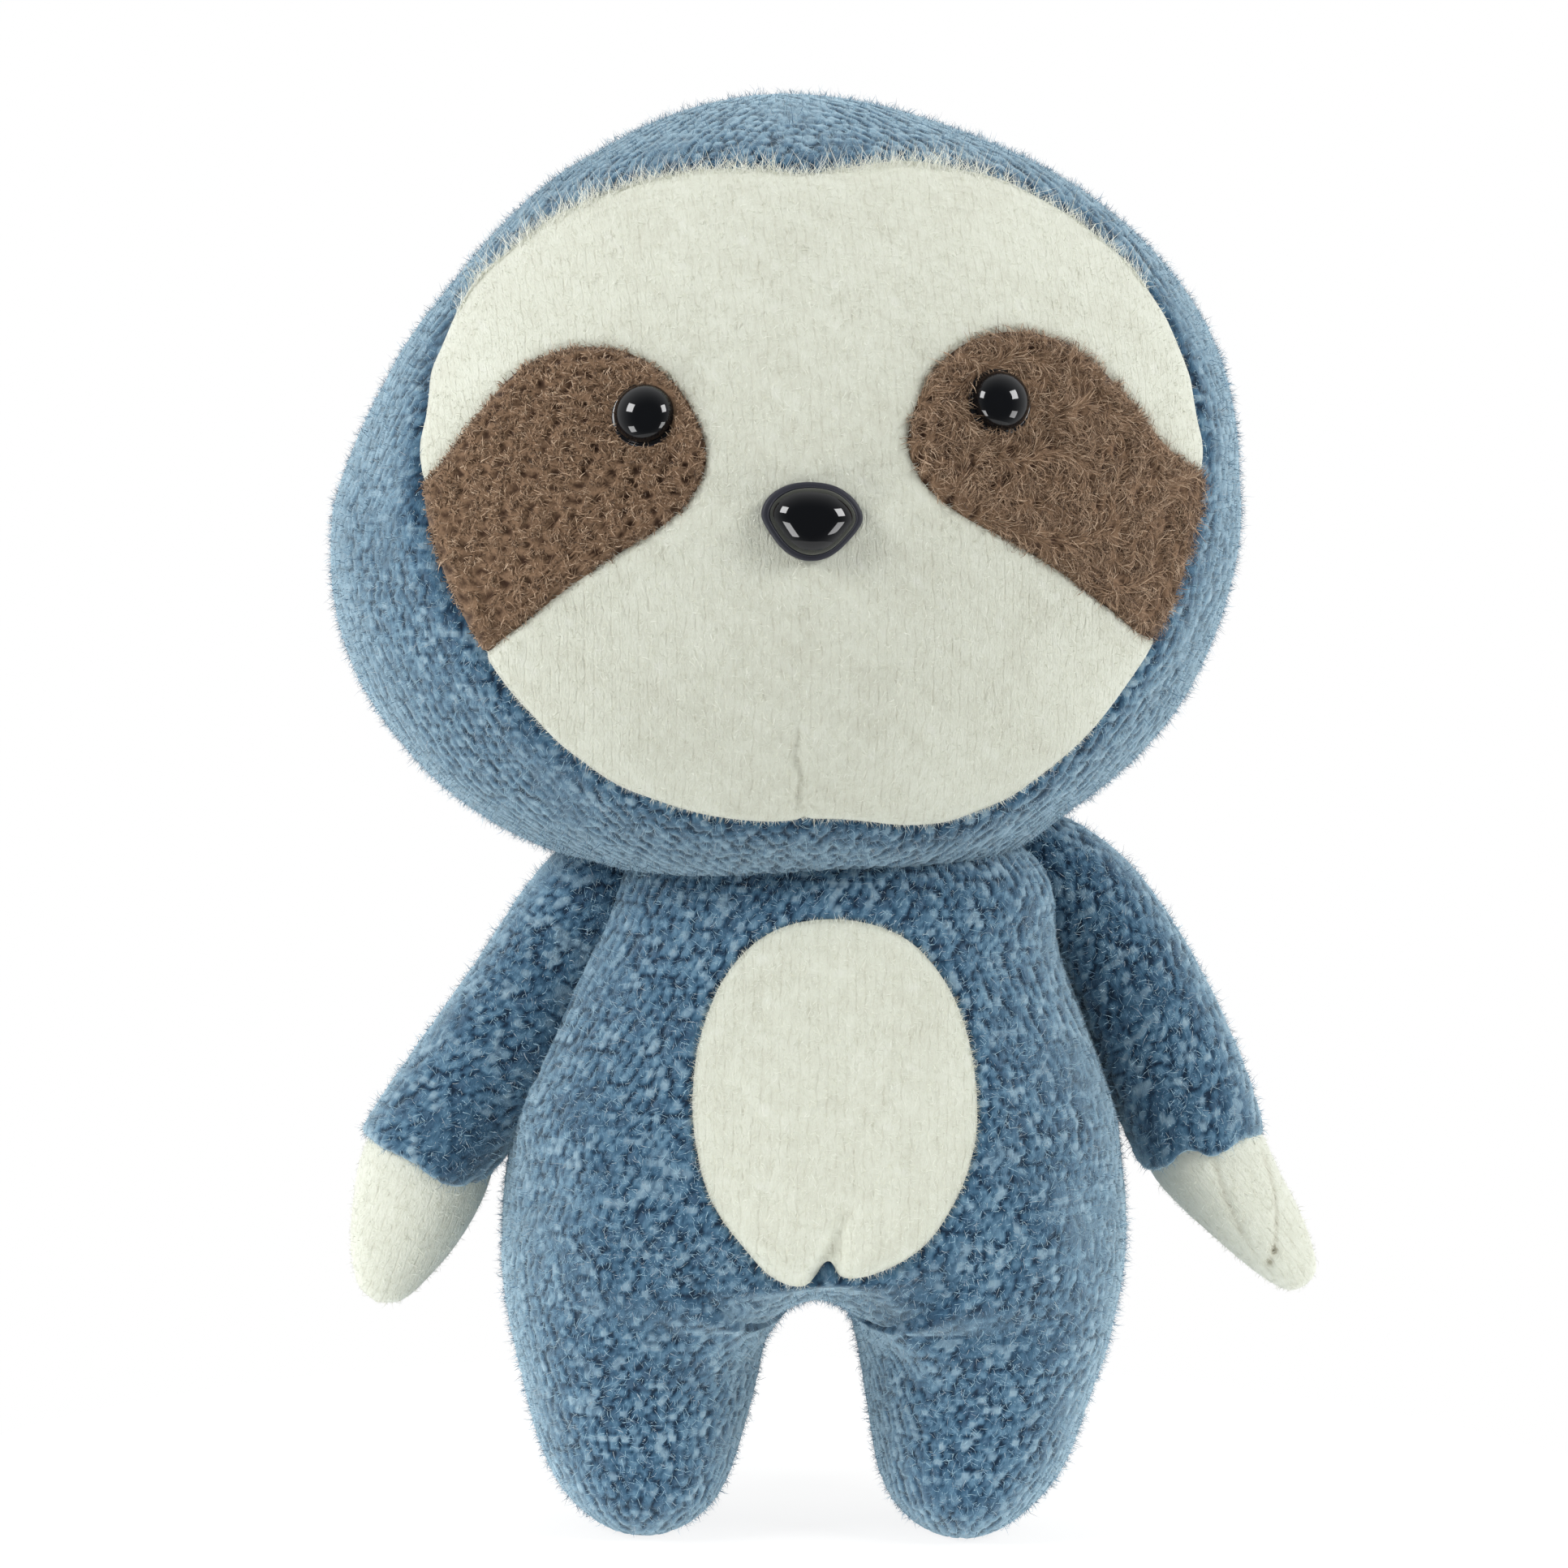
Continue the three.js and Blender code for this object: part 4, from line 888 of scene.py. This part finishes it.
# An eye: a round rim that rises from the fabric and turns in, with the dome's rings on it
def makeEye(side, sign):
    r, d, rim, k = eye["radius"], eye["domeRadius"], eye["rim"], eye["sunk"]
    rings = [(r - 0.25, k - 0.5), (r - 0.05, k - 0.4), (r, k), (r, k + rim - 0.3), (r - 0.1, k + rim - 0.06),
             (r - 0.25, k + rim), (d + 0.1, k + rim), (d, k + rim + 0.02)]
    rings += domeRings(d, k + rim, eye["dome"], 24)
    return makeCap("eye_" + side + "_glossy", frontPlace(*eyeCentre(sign)), circle(96), rings, 4)


# The nose: the same over its own outline, which its shares give in half widths and heights
def makeNose():
    rows = [[x * nose["halfWidth"], (z - 0.5) * nose["height"]] for x, z in nose["shares"]]
    k, rim, d = nose["sunk"], nose["rim"], nose["domeShare"]
    rings = [(0.97, k - 0.6), (1.0, k - 0.3), (1.0, k + rim * 0.5), (0.985, k + rim * 0.85), (0.96, k + rim),
             (0.90, k + rim + 0.03), (0.875, k + rim + 0.04), (d, k + rim + 0.1)]
    rings += domeRings(d, k + rim + 0.1, nose["dome"], 26, 0.9, 1.1)
    return makeCap("nose_cap", frontPlace(*face["noseAt"]), outlineThrough(rows[::-1], 120), rings, 7)


hood, hoodSurface, hoodAway = makeHood()
facePiece, faceSurface, faceAway, faceFlat = makeFace()
print("head made")

onBody(makeFuzz("hoodFuzz", hoodSurface, fuzzOf("blue", 3), hoodAway > 0.3), "head")
onBody(makeFuzz("faceFuzz", faceSurface, fuzzOf("cream", 5), faceAway > 0.2), "head")
# Longer pale hairs stand up from the top of the face seam and lie over the blue
topEdge = (faceAway < 1.6) & (faceAway > 0.2) & (faceFlat[:, 1] > 90)
onBody(makeFuzz(
    "browHairs", faceSurface, fuzzOf("brow", 13), topEdge,
    lambda root: np.array([0.1, 0.0, 1.2]) + 0.012 * (root - np.array([0, 0, 200.0])) * np.array([1, 0, 0])),
    "head")
faceMiddle = placeHead(headFront(np.array([[0.0, 62.0]])))[0]
onBody(makeFuzz("faceEdgeHairs", faceSurface, fuzzOf("edge", 15), (faceAway < 0.9) & (faceAway > -0.1),
                outwardFrom(faceMiddle)), "head")

for side, sign in sides.items():
    piece, surface, away, pile = makePatch(side, sign)
    standsFor(piece, patch["fill"], "eye_patch_" + side)
    kind = fuzzOf("pile" + side.title(), patch[side]["seed"])
    clear = np.linalg.norm(surface["points"] - frontPlace(*eyeCentre(sign))[0], axis=1) > eye["radius"] - 0.2
    pileFuzz = makeFuzz("patchPile_" + side, surface, kind, clear & (away > 0.1) & (pile > kind["pit"]))
    onBody([piece] + pileFuzz, "head")
    eyePiece = makeEye(side, sign)
    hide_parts("eye_" + side)
    onBody([eyePiece], "head")
noseCap = makeNose()
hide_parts("nose")
onBody([noseCap], "head")
standsFor(hood, head["fill"], "head_cover", "head_stuffing")
standsFor(facePiece, face["fill"], "face_panel")
onBody([hood], "head")
onBody([facePiece], "head")
print("face features and head fuzz made")


# Torso and belly

torso = {
    "halfWidth": 49.6, "front": 33.5, "back": 33.0, "foot": 34.0, "height": 78.0, "crotchRise": 5.2,
    "topShift": 1.7, "seam": (1.0, 0.7, 0.35, 3.0), "stuffing": (0.5, 24.0, 19), "fill": 0.85,
    "shares": [[0, 0, 0], [0.52, 0.41, 0.004], [0.83, 0.65, 0.03], [0.965, 0.81, 0.085], [1, 0.92, 0.16],
               [1, 1, 0.25], [0.985, 1.01, 0.345], [0.97, 1, 0.43], [0.915, 0.97, 0.53],
               [0.845, 0.92, 0.635], [0.75, 0.83, 0.79], [0.715, 0.74, 0.91], [0.60, 0.58, 0.985], [0, 0, 1]],
}
wideShare, deepShare, highShare = levelsOf(torso["shares"], 500)
torsoForm = makeForm(torso["halfWidth"] * wideShare, torso["front"] * deepShare, torso["back"] * deepShare,
                     torso["foot"] + torso["height"] * highShare, torso["topShift"] * ramp(highShare, 0.74, 0.92))

leg = {
    "height": 57.0, "halfWidth": 21.2, "halfDepth": 27.5, "offset": 28.5, "sole": 0.5, "meet": 3.4,
    "turnIn": {"left": 4.2, "right": 2.2}, "stuffing": (0.5, 22.0, 23), "fill": 0.85,
    "shares": [[0, 0, 0], [0.20, 0.30, 0.010], [0.41, 0.50, 0.05], [0.60, 0.63, 0.125], [0.71, 0.68, 0.21],
               [0.855, 0.745, 0.41], [0.97, 0.86, 0.61], [1, 0.97, 0.80], [0.93, 0.96, 0.94], [0, 0, 1]],
    "hip": (28, -9), "hipFrom": 56, "hipTo": 34,  # mm, where the fabric bends between torso and leg
    "hipFade": (32, 44),                          # mm from the middle, where the swell of the join dies away
    "legReach": 11.0, "torsoReach": 12.0,         # mm from each other where leg and torso begin to swell
}


# A leg's form, which leans in towards its foot by turnIn (1 - high)^2
def legForm(side):
    wide, deep, high = levelsOf(leg["shares"], 400)
    return makeForm(leg["halfWidth"] * wide, leg["halfDepth"] * deep, leg["halfDepth"] * deep,
                    leg["height"] * high - leg["sole"],
                    sides[side] * (leg["offset"] - leg["turnIn"][side] * (1 - high) ** 2))


# Rough distance outside a form: (f - 1) r / f, with f the oval's measure of the place at its own level
def outsideForm(points, form):
    z = np.clip(points[:, 2], form["high"].min() + 1.5, form["high"].max() - 1.5)
    wide, front, back, middle = formAt(form, z, ("wide", "front", "back", "middle"))
    x = points[:, 0] - middle
    y = points[:, 1]
    depth = np.where(y < 0, front, back)
    measure = np.sqrt((x / np.maximum(wide, 1)) ** 2 + (y / np.maximum(depth, 1)) ** 2)
    level = (measure - 1) * np.sqrt(x * x + y * y) / np.maximum(measure, 0.05)
    return np.where(points[:, 2] != z, np.hypot(np.maximum(level, 0), points[:, 2] - z), level)


# Two stuffed forms run into each other: near where they meet both swell by k/4 (1 - |d|/k)^2
def fillet(distance, reach):
    return reach / 4 * np.maximum(1 - np.abs(distance) / reach, 0) ** 2


# The swell where a leg is near, by the distance to the nearer one
def legFillet(points):
    return fillet(np.minimum(*[outsideForm(points, legForm(side)) for side in sides]), leg["torsoReach"])


# 1 over the front and back, 0 at the hips, where torso and leg already run into each other
def inFront(points):
    return 1 - ramp(np.abs(points[:, 0]), *leg["hipFade"])


belly = {
    "halfWidth": 22.0, "height": 57.1, "foot": 43.4, "shift": 0.8, "middle": 73.0, "seam": (0.3, 0.6, 0.15, 3.0),
    "spacing": 0.55, "grow": 0.9, "fill": 0.85,
    "right": [[-0.015, 0.052], [0.05, 0.03], [0.16, 0.028], [0.33, 0.046], [0.60, 0.112], [0.84, 0.242],
              [0.98, 0.388], [1, 0.524], [0.93, 0.699], [0.75, 0.845], [0.45, 0.956], [0, 1]],
    "left": [[-0.45, 0.966], [-0.75, 0.864], [-0.93, 0.708], [-1, 0.533], [-0.98, 0.397], [-0.86, 0.242],
             [-0.62, 0.112], [-0.42, 0.03], [-0.27, 0.002], [-0.14, 0.0], [-0.065, 0.018]],
    "crease": ((4.4, 62.0), (-0.6, 45.0)), "creaseDepth": 2.3, "wool": (60.0, 51),
}
bellyOutline = outlineThrough([[belly["shift"] + x * belly["halfWidth"], belly["foot"] + z * belly["height"]]
                               for x, z in belly["right"] + belly["left"]], 260)


# Pulled folds that fan out from the crotch and die away over the hips
def crotchFolds(points):
    dx, dz = points[:, 0], points[:, 2] - 40.0
    far = np.hypot(dx, dz)
    fan = np.cos(np.arctan2(dz, dx) * 15 + 1.5 * lumps(points, 30.0, 15))
    return 0.12 * fan * ramp(far, 5, 11) * (1 - ramp(far, 16, 34)) * ramp(-points[:, 1], -8, 6)


# The underside is raised between the legs by h exp(-(x/10)^2), less from 36 to 46 mm up
def crotchRise(points):
    return torso["crotchRise"] * bump(points[:, 0], 10.0) * (1 - ramp(points[:, 2], 36, 46))


# Painted shade round the crotch: the stitches' colour is darkened there by 1 - 0.4 exp(-(x/24)^2 - ((z - 40)/6)^2)
def paintedCrotchShade(points):
    return 1 - 0.4 * bump(points[:, 0], 24) * bump(points[:, 2] - 40, 6)


# The torso: its form with the belly window taken out, a seam down each side, and its underside raised
def makeTorso():
    made = formGrid(torsoForm)
    points, grid = made["points"], made["grid"]
    away = panelDistance(points, bellyOutline)
    beads, tone = brushedStitches(made, points, 41, 302)
    seam = seamProfile(away, *torso["seam"])
    sideSeam = plainSeam(points[:, 1], 0.4)
    lift = beads * knit["blueHeight"] * ramp(away, -0.5, 1.2) + seam + stuffing(points, torso) \
        + legFillet(points) * (points[:, 2] < 60) * inFront(points) + crotchFolds(points) - sideSeam
    shaped = raised(points, grid, lift)
    shaped[:, 2] += crotchRise(points)
    # The stitches' colour carries painted shade round the crotch
    relief = beads * ramp(away, -0.8, 0.6) * paintedCrotchShade(points)
    piece = makePiece("torso", shaped, grid, blueKnit, dict(made["cloth"], relief=relief, tone=tone),
                      away > -knit["turnedIn"])
    return piece, surfaceOf(shaped, grid), away


# Front of the torso over a place across and up: y = -front sqrt(1 - ((x - middle)/wide)^2)
def torsoFront(flat):
    x, z = flat[:, 0], flat[:, 1]
    wide, depth, middle = formAt(torsoForm, z, ("wide", "front", "middle"))
    return np.stack([x, -depth * np.sqrt(np.maximum(1 - ((x - middle) / wide) ** 2, 0)), z], axis=1)


# The belly panel: a disc on the torso's front with a dart at its foot and a soft lobe at each side of it
def makeBelly():
    flat, grid = discGrid(np.array([belly["shift"], belly["middle"]]), [bellyOutline], belly["spacing"],
                          belly["grow"])
    points = torsoFront(flat)
    away = -outlineDistance(flat, bellyOutline)
    height, cloth = wool(flat, *belly["wool"])
    fade = ramp(away, -0.2, 0.5)
    crease = foldLine(flat, belly["crease"], 0.8, 1.6)
    lobes = bump(flat[:, 1] - 50, 9) * (1 - bump(flat[:, 0], 4)) * ramp(away, 0, 4) * 0.9
    lift = height * knit["creamHeight"] * fade + seamProfile(away, *belly["seam"]) \
        - belly["creaseDepth"] * crease + lobes + stuffing(points, torso) + legFillet(points)
    shaped = raised(points, grid, lift)
    # The colour is darkened along the crease at the dart's foot: painted shade in its fold
    relief = height * (0.5 + 0.5 * fade) - 0.35 * foldLine(flat, belly["crease"], 0.45, 0.4)
    piece = makePiece("belly", shaped, grid, creamKnit, dict(cloth, relief=relief))
    return piece, surfaceOf(shaped, grid), away


torsoPiece, torsoSurface, torsoAway = makeTorso()
standsFor(torsoPiece, torso["fill"], "body_cover", "body_stuffing")
bellyPiece, bellySurface, bellyAway = makeBelly()
standsFor(bellyPiece, belly["fill"], "belly_panel")
onBody([torsoPiece], "torso")
onBody([bellyPiece], "torso")
onBody(makeFuzz("torsoFuzz", torsoSurface, fuzzOf("blue", 61), torsoAway > 0.3), "torso")
onBody(makeFuzz("bellyFuzz", bellySurface, fuzzOf("cream", 62), bellyAway > 0.2), "torso")
bellyMiddle = np.array([belly["shift"], -torso["front"], belly["middle"]])
onBody(makeFuzz("bellyEdgeHairs", bellySurface, fuzzOf("edge", 63), (bellyAway < 0.9) & (bellyAway > -0.1),
                outwardFrom(bellyMiddle)), "torso")
print("torso and belly made")


# Legs

# A leg: its form with a seam down its inside, swelling where it meets the torso, its sole kept above the floor
def makeLeg(side, sign):
    made = formGrid(legForm(side))
    points, grid = made["points"], made["grid"]
    x, y, z = points.T
    beads, tone = brushedStitches(made, points, 71 + sign, 303)
    # The torso's underside is raised at the crotch, so its distance is taken from that much lower
    lowered = points - crotchRise(points)[:, None] * np.array([0, 0, 1])
    toTorso = outsideForm(lowered, torsoForm)
    innerSeam = plainSeam(y, 0.5) * (x * sign < leg["offset"])
    meet = leg["meet"] * bump(x * sign - 14, 10) * bump(z - 41, 8) * ramp(-y, 2, 14)
    lift = beads * knit["blueHeight"] + fillet(toTorso, leg["legReach"]) * ramp(z, 18, 26) * inFront(points) \
        + crotchFolds(points) + stuffing(points, leg) - innerSeam + meet
    shaped = raised(points, grid, lift)
    shaped[:, 2] = np.maximum(shaped[:, 2], aboveFloor)
    # The stitches' colour carries painted shade round the crotch
    piece = makePiece("leg_" + side, shaped, grid, blueKnit,
                      dict(made["cloth"], relief=beads * paintedCrotchShade(points), tone=tone))
    standsFor(piece, leg["fill"], "leg_cover_" + side, "leg_stuffing_" + side)
    fuzz = makeFuzz("legFuzz_" + side, surfaceOf(shaped, grid), fuzzOf("blue", 81 + sign),
                    (shaped[:, 2] > 1.5) & (toTorso > -1.5))
    for each in [piece] + fuzz:
        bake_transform(each)


for side, sign in sides.items():
    makeLeg(side, sign)
print("legs made")


# Arms and hands

arm = {
    "halfWidth": 8.8, "halfDepth": 9.5, "length": {"left": 60.8, "right": 65.4}, "flare": 1.6, "top": 115.0,
    "offset": {"left": 32.0, "right": 28.6}, "splay": {"left": 29.7, "right": 31.6},
    "bow": {"left": 3.6, "right": -0.3}, "hem": {"left": (0.3, 1.6), "right": (0.9, 0.95)},
    "notch": {"left": 2.0, "right": 0.0}, "inward": 2.0, "stuffing": (0.4, 20.0, 29), "fill": 0.8,
    "shares": [[0, 0], [0.44, 0.035], [0.74, 0.115], [0.95, 0.25], [1, 0.6], [1, 0.94], [0.97, 0.985],
               [0.88, 1.0], [0.78, 0.985], [0.72, 0.95]],
    "seam": (37.3, 0, 95.7), "seamPast": (12, 0, -5),  # mm, where the fabric bends between shoulder and arm
}
hand = {
    "halfWidth": {"left": 9.2, "right": 10.2}, "halfDepth": 7.2, "length": {"left": 37.2, "right": 34.2},
    "tuck": 9.0, "seam": {"left": 1.0, "right": 0.0}, "splay": {"left": 38.2, "right": 19.0},
    "inward": {"left": 0.0, "right": 1.3}, "stuffing": (0.35, 14.0, 33), "fill": 0.8,
    "shares": {
        "left": [[0, 0], [0.75, 0.01], [0.90, 0.10], [1, 0.24], [0.94, 0.38], [0.81, 0.55], [0.66, 0.73],
                 [0.52, 0.86], [0.32, 0.965], [0, 1]],
        "right": [[0, 0], [0.76, 0.01], [0.86, 0.08], [0.98, 0.22], [1, 0.38], [0.86, 0.62], [0.62, 0.82],
                  [0.36, 0.95], [0, 1]]},
    "dots": [(-0.8, 28.8), (-2.6, 29.9)],  # the stitched ends of the seams
}


# Down an arm or hand that is splayed out by an angle
def downLine(sign, splay):
    return np.array([sign * math.sin(splay), 0, -math.cos(splay)])


# A form that hangs from a start point along its own line:
# start + down s + out (w sin(a) + bow sin(pi s/L)) - fore d cos(a)
def hangForm(points, start, splay, sign, bow=0.0, length=1.0):
    out = np.array([sign * math.cos(splay), 0, math.sin(splay)]) * sign
    sideways = points[:, :1] + sign * bow * np.sin(np.pi * points[:, 2:] / length)
    fore = points[:, 1:2] * np.array([0.0, 1.0, 0.0])
    return start + points[:, 2:] * downLine(sign, splay) + sideways * out + fore


# A sleeve: its form open at the hem, which slants, waves and has a notch at its front, with a seam down its inside
def makeSleeve(side, sign):
    wide, high = levelsOf(arm["shares"], 300)
    length, deep = arm["length"][side], arm["halfDepth"] * wide
    wide = (arm["halfWidth"] + arm["flare"] * high) * wide
    made = formGrid(makeForm(wide, deep, deep, length * high), openTop=True)
    grid, local, angle = turned(made["grid"]), made["points"], made["angle"]
    x, y, z = local.T
    longer, slant = arm["hem"][side]
    waves = 0.35 * np.sin(3 * angle + 1.2 + sign)
    smallWaves = 0.3 * np.sin(5 * angle + sign)
    notch = arm["notch"][side] * bump(x + 3.0, 2.4) * (y < 0)
    z += ramp(z / length, 0.5, 1.0) * (longer + slant * x * sign / arm["halfWidth"] + waves + smallWaves - notch)
    inner = np.maximum(-np.sin(angle) * sign, 0)
    x -= sign * arm["inward"] * inner * bump(z / length - 0.66, 0.24)
    start = np.array([sign * arm["offset"][side], 0, arm["top"]])
    splay = math.radians(arm["splay"][side])
    points = hangForm(local, start, splay, sign, arm["bow"][side], length)
    beads, tone = brushedStitches(made, points, 91 + sign, 304)
    seam = bump(angle - (np.pi * 1.5 if sign > 0 else np.pi * 0.5), 0.09) * 0.5
    shaped = raised(points, grid, beads * knit["blueHeight"] + stuffing(points, arm) - seam)
    sleeve = makePiece("sleeve_" + side, shaped, grid, blueKnit, dict(made["cloth"], relief=beads, tone=tone))
    standsFor(sleeve, arm["fill"], "arm_cover_" + side, "arm_stuffing_" + side, "shoulder_seam_" + side)
    fuzz = makeFuzz("sleeveFuzz_" + side, surfaceOf(shaped, grid), fuzzOf("blue", 101 + sign))
    return [sleeve] + fuzz, start + length * downLine(sign, splay)


# Two thin seams run down the left mitt's front, x = 0.8 - 0.45 t + 0.012 t^2 and x = 7.1 - 0.22 u - 0.024 u^2,
# with t and u the way down from the cuff and from 5.6 mm below it; they end in two stitched dots
def palmSeams(local, side):
    x, t, u = local[:, 0], local[:, 2] - 9.0, local[:, 2] - 14.6
    line = 0.75 * bump(x - 0.8 + 0.45 * t - 0.012 * t ** 2, 0.5) * ramp(-t, -17, -13) \
        + 0.8 * bump(x - 7.1 + 0.22 * u + 0.024 * u ** 2, 0.45) * ramp(u, -2, 2) * ramp(-u, -16, -14)
    for dotX, dotZ in hand["dots"]:
        line = line + 2.0 * bump(np.hypot(x - dotX, local[:, 2] - dotZ), 0.6)
    return line * (local[:, 1] < 0) * hand["seam"][side]


# A mitt: a closed form that starts up inside its cuff
def makeMitt(side, sign, cuff):
    splay = math.radians(hand["splay"][side])
    wrist = cuff - hand["tuck"] * downLine(sign, splay)
    wrist[0] -= sign * hand["inward"][side]
    wide, high = levelsOf(hand["shares"][side], 300)
    deep = hand["halfDepth"] * wide
    made = formGrid(makeForm(hand["halfWidth"][side] * wide, deep, deep, hand["length"][side] * high))
    grid, local = turned(made["grid"]), made["points"]
    points = hangForm(local, wrist, splay, sign)
    beads, tone = stitches(made, 111 + sign)
    seams = palmSeams(local, side)
    lift = 0.35 * beads * knit["creamHeight"] + stuffing(points, hand) - 0.3 * seams
    shaped = raised(points, grid, lift)
    mitt = makePiece("mitt_" + side, shaped, grid, creamKnit,
                     dict(made["cloth"], relief=0.80 + 0.17 * beads - 0.6 * seams, tone=0.3 + 0.4 * tone))
    standsFor(mitt, hand["fill"], "hand_" + side)
    return [mitt] + makeFuzz("mittFuzz_" + side, surfaceOf(shaped, grid), fuzzOf("cream", 121 + sign),
                             local[:, 2] > hand["tuck"])


for side, sign in sides.items():
    sleevePieces, cuff = makeSleeve(side, sign)
    mittPieces = makeMitt(side, sign, cuff)
    for each in sleevePieces:
        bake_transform(each)
    onBody(mittPieces, "arm_" + side)
print("arms made")


# Neck: a short roll of the same knit that keeps the join full when the head turns

neck = {"halfWidth": 27.0, "depth": 22.0, "low": 96.0, "high": 114.0, "columns": 140, "lift": 0.3, "fill": 0.8}


# An oval roll: width and depth follow sin(t), height (1 - cos(t))/2, for t from 0 to pi
def makeNeck():
    t = np.linspace(0, np.pi, 120)
    depth = neck["depth"] * np.sin(t)
    high = neck["low"] + (neck["high"] - neck["low"]) * (1 - np.cos(t)) / 2
    made = formGrid(makeForm(neck["halfWidth"] * np.sin(t), depth, depth, high), neck["columns"])
    beads, tone = stitches(made, 131)
    shaped = raised(made["points"], made["grid"], beads * neck["lift"])
    return makePiece("neckRoll", shaped, made["grid"], blueKnit, dict(made["cloth"], relief=beads, tone=tone))


neckPiece = makeNeck()
standsFor(neckPiece, neck["fill"], "neck_stuffing")
onBody([neckPiece], "neck")

for name in ("eye_washer_left", "eye_washer_right", "nose_washer"):
    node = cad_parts[name]
    node.data.materials.clear()
    node.data.materials.append(whitePlastic)
print("neck and washers made")


# Studio

studio = {
    "tableRadius": 150.0,  # mm
    "lamps": [(4.3, (-0.80, -0.42, 0.48)), (2.5, (-0.70, -0.42, -0.54)),
              (4.0, (0.80, -0.42, 0.48)), (1.9, (0.80, -0.42, -0.40))],  # watts, and the direction it stands in
    "lampSize": 0.29, "lampDistance": 0.80, "lampTarget": (-0.003, -0.03, 0.150),
    "frontDim": 0.15, "sideLevel": 0.92,
}
view = {"target": (-0.0065, 0.0, 0.1195), "distance": 0.9, "turn": -3.5, "rise": 4.5, "roll": 1.3, "lens": 129.8}


# Opal acrylic light table: white to look at, and the lower lamps shine up through it
def makeFloor():
    ring = np.column_stack([circle(96), np.zeros(96)]) * studio["tableRadius"]
    floor = meshObject("floor", ring, np.arange(96), np.array([96], np.int32))
    material, add = startNodes(bpy.data.materials.new("opal acrylic table top"))
    path = add("LightPath").outputs
    seen = add("Math", {0: path["Is Camera Ray"], 1: path["Is Glossy Ray"]}, operation="MAXIMUM")
    seen = add("Math", {0: seen, 1: path["Is Transmission Ray"]}, operation="MAXIMUM")
    share = add("Math", {0: seen, 1: 0.8}, operation="MULTIPLY")
    paper = add("BsdfDiffuse", {"Color": linear("#F4F4F2")})
    glow = add("Emission", {"Color": (1, 1, 1, 1), "Strength": 1.08})
    mixed = add("MixShader", {0: share, 1: paper, 2: glow})
    clear = add("BsdfTransparent")
    through = add("MixShader", {0: path["Is Shadow Ray"], 1: mixed, 2: clear})
    add("OutputMaterial", {"Surface": through})
    floor.data.materials.append(material)


# White behind the toy, dimmer towards the camera's side; the camera itself sees plain white
def makeWorld():
    world, add = startNodes(bpy.data.worlds.new("white studio"))
    split = add("SeparateXYZ", {0: add("TexCoord").outputs["Generated"]})
    level = add("MapRange", {"Value": split.outputs["Y"], "From Min": -0.8, "From Max": 0.45,
                             "To Min": studio["frontDim"], "To Max": studio["sideLevel"]},
                interpolation_type="SMOOTHSTEP")
    camera = add("LightPath").outputs["Is Camera Ray"]
    strength = add("Mix", {0: camera, 2: level, 3: 1.0}, data_type="FLOAT")
    glow = add("Background", {"Color": (1, 1, 1, 1), "Strength": strength})
    add("OutputWorld", {"Surface": glow})
    bpy.context.scene.world = world


# A lamp looks along its own -Z, so its Z axis is the direction back to where it stands
def makeLamps():
    for number, (watts, direction) in enumerate(studio["lamps"]):
        data = bpy.data.lights.new("softbox%d" % number, "AREA")
        data.shape = "SQUARE"
        data.size = studio["lampSize"]
        data.energy = watts
        lamp = bpy.data.objects.new("softbox%d" % number, data)
        away = Vector(direction).normalized()
        lamp.location = Vector(studio["lampTarget"]) + away * studio["lampDistance"]
        lamp.rotation_euler = away.to_track_quat("Z", "Y").to_euler()
        bpy.context.scene.collection.objects.link(lamp)


# The camera stands back from the target by the photograph's turn and height, rolled a little
def makeCamera():
    turn, rise, roll = (math.radians(view[key]) for key in ("turn", "rise", "roll"))
    back = Vector((math.sin(turn) * math.cos(rise), -math.cos(turn) * math.cos(rise), math.sin(rise)))
    right = Vector((math.cos(turn), math.sin(turn), 0))
    upward = back.cross(right)
    rolledRight = right * math.cos(roll) + upward * math.sin(roll)
    rolledUp = upward * math.cos(roll) - right * math.sin(roll)
    data = bpy.data.cameras.new("camera")
    data.sensor_width = 36
    data.lens = view["lens"]
    data.clip_start = 0.05
    data.clip_end = 50
    camera = bpy.data.objects.new("camera", data)
    place = Vector(view["target"]) + back * view["distance"]
    camera.matrix_world = Matrix.Translation(place) @ Matrix((rolledRight, rolledUp, back)).transposed().to_4x4()
    bpy.context.scene.collection.objects.link(camera)
    bpy.context.scene.camera = camera


makeFloor()
makeWorld()
makeLamps()
makeCamera()
bpy.context.scene.view_settings.view_transform = "Standard"
bpy.context.view_layer.update()
print("studio made")

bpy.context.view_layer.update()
triangles = {o.name: len(o.data.loops) - 2 * len(o.data.polygons)
             for o in bpy.data.objects if o.type == "MESH" and not o.hide_render}
print("size written,", sum(triangles.values()), "triangles, most in", max(triangles, key=triangles.get))
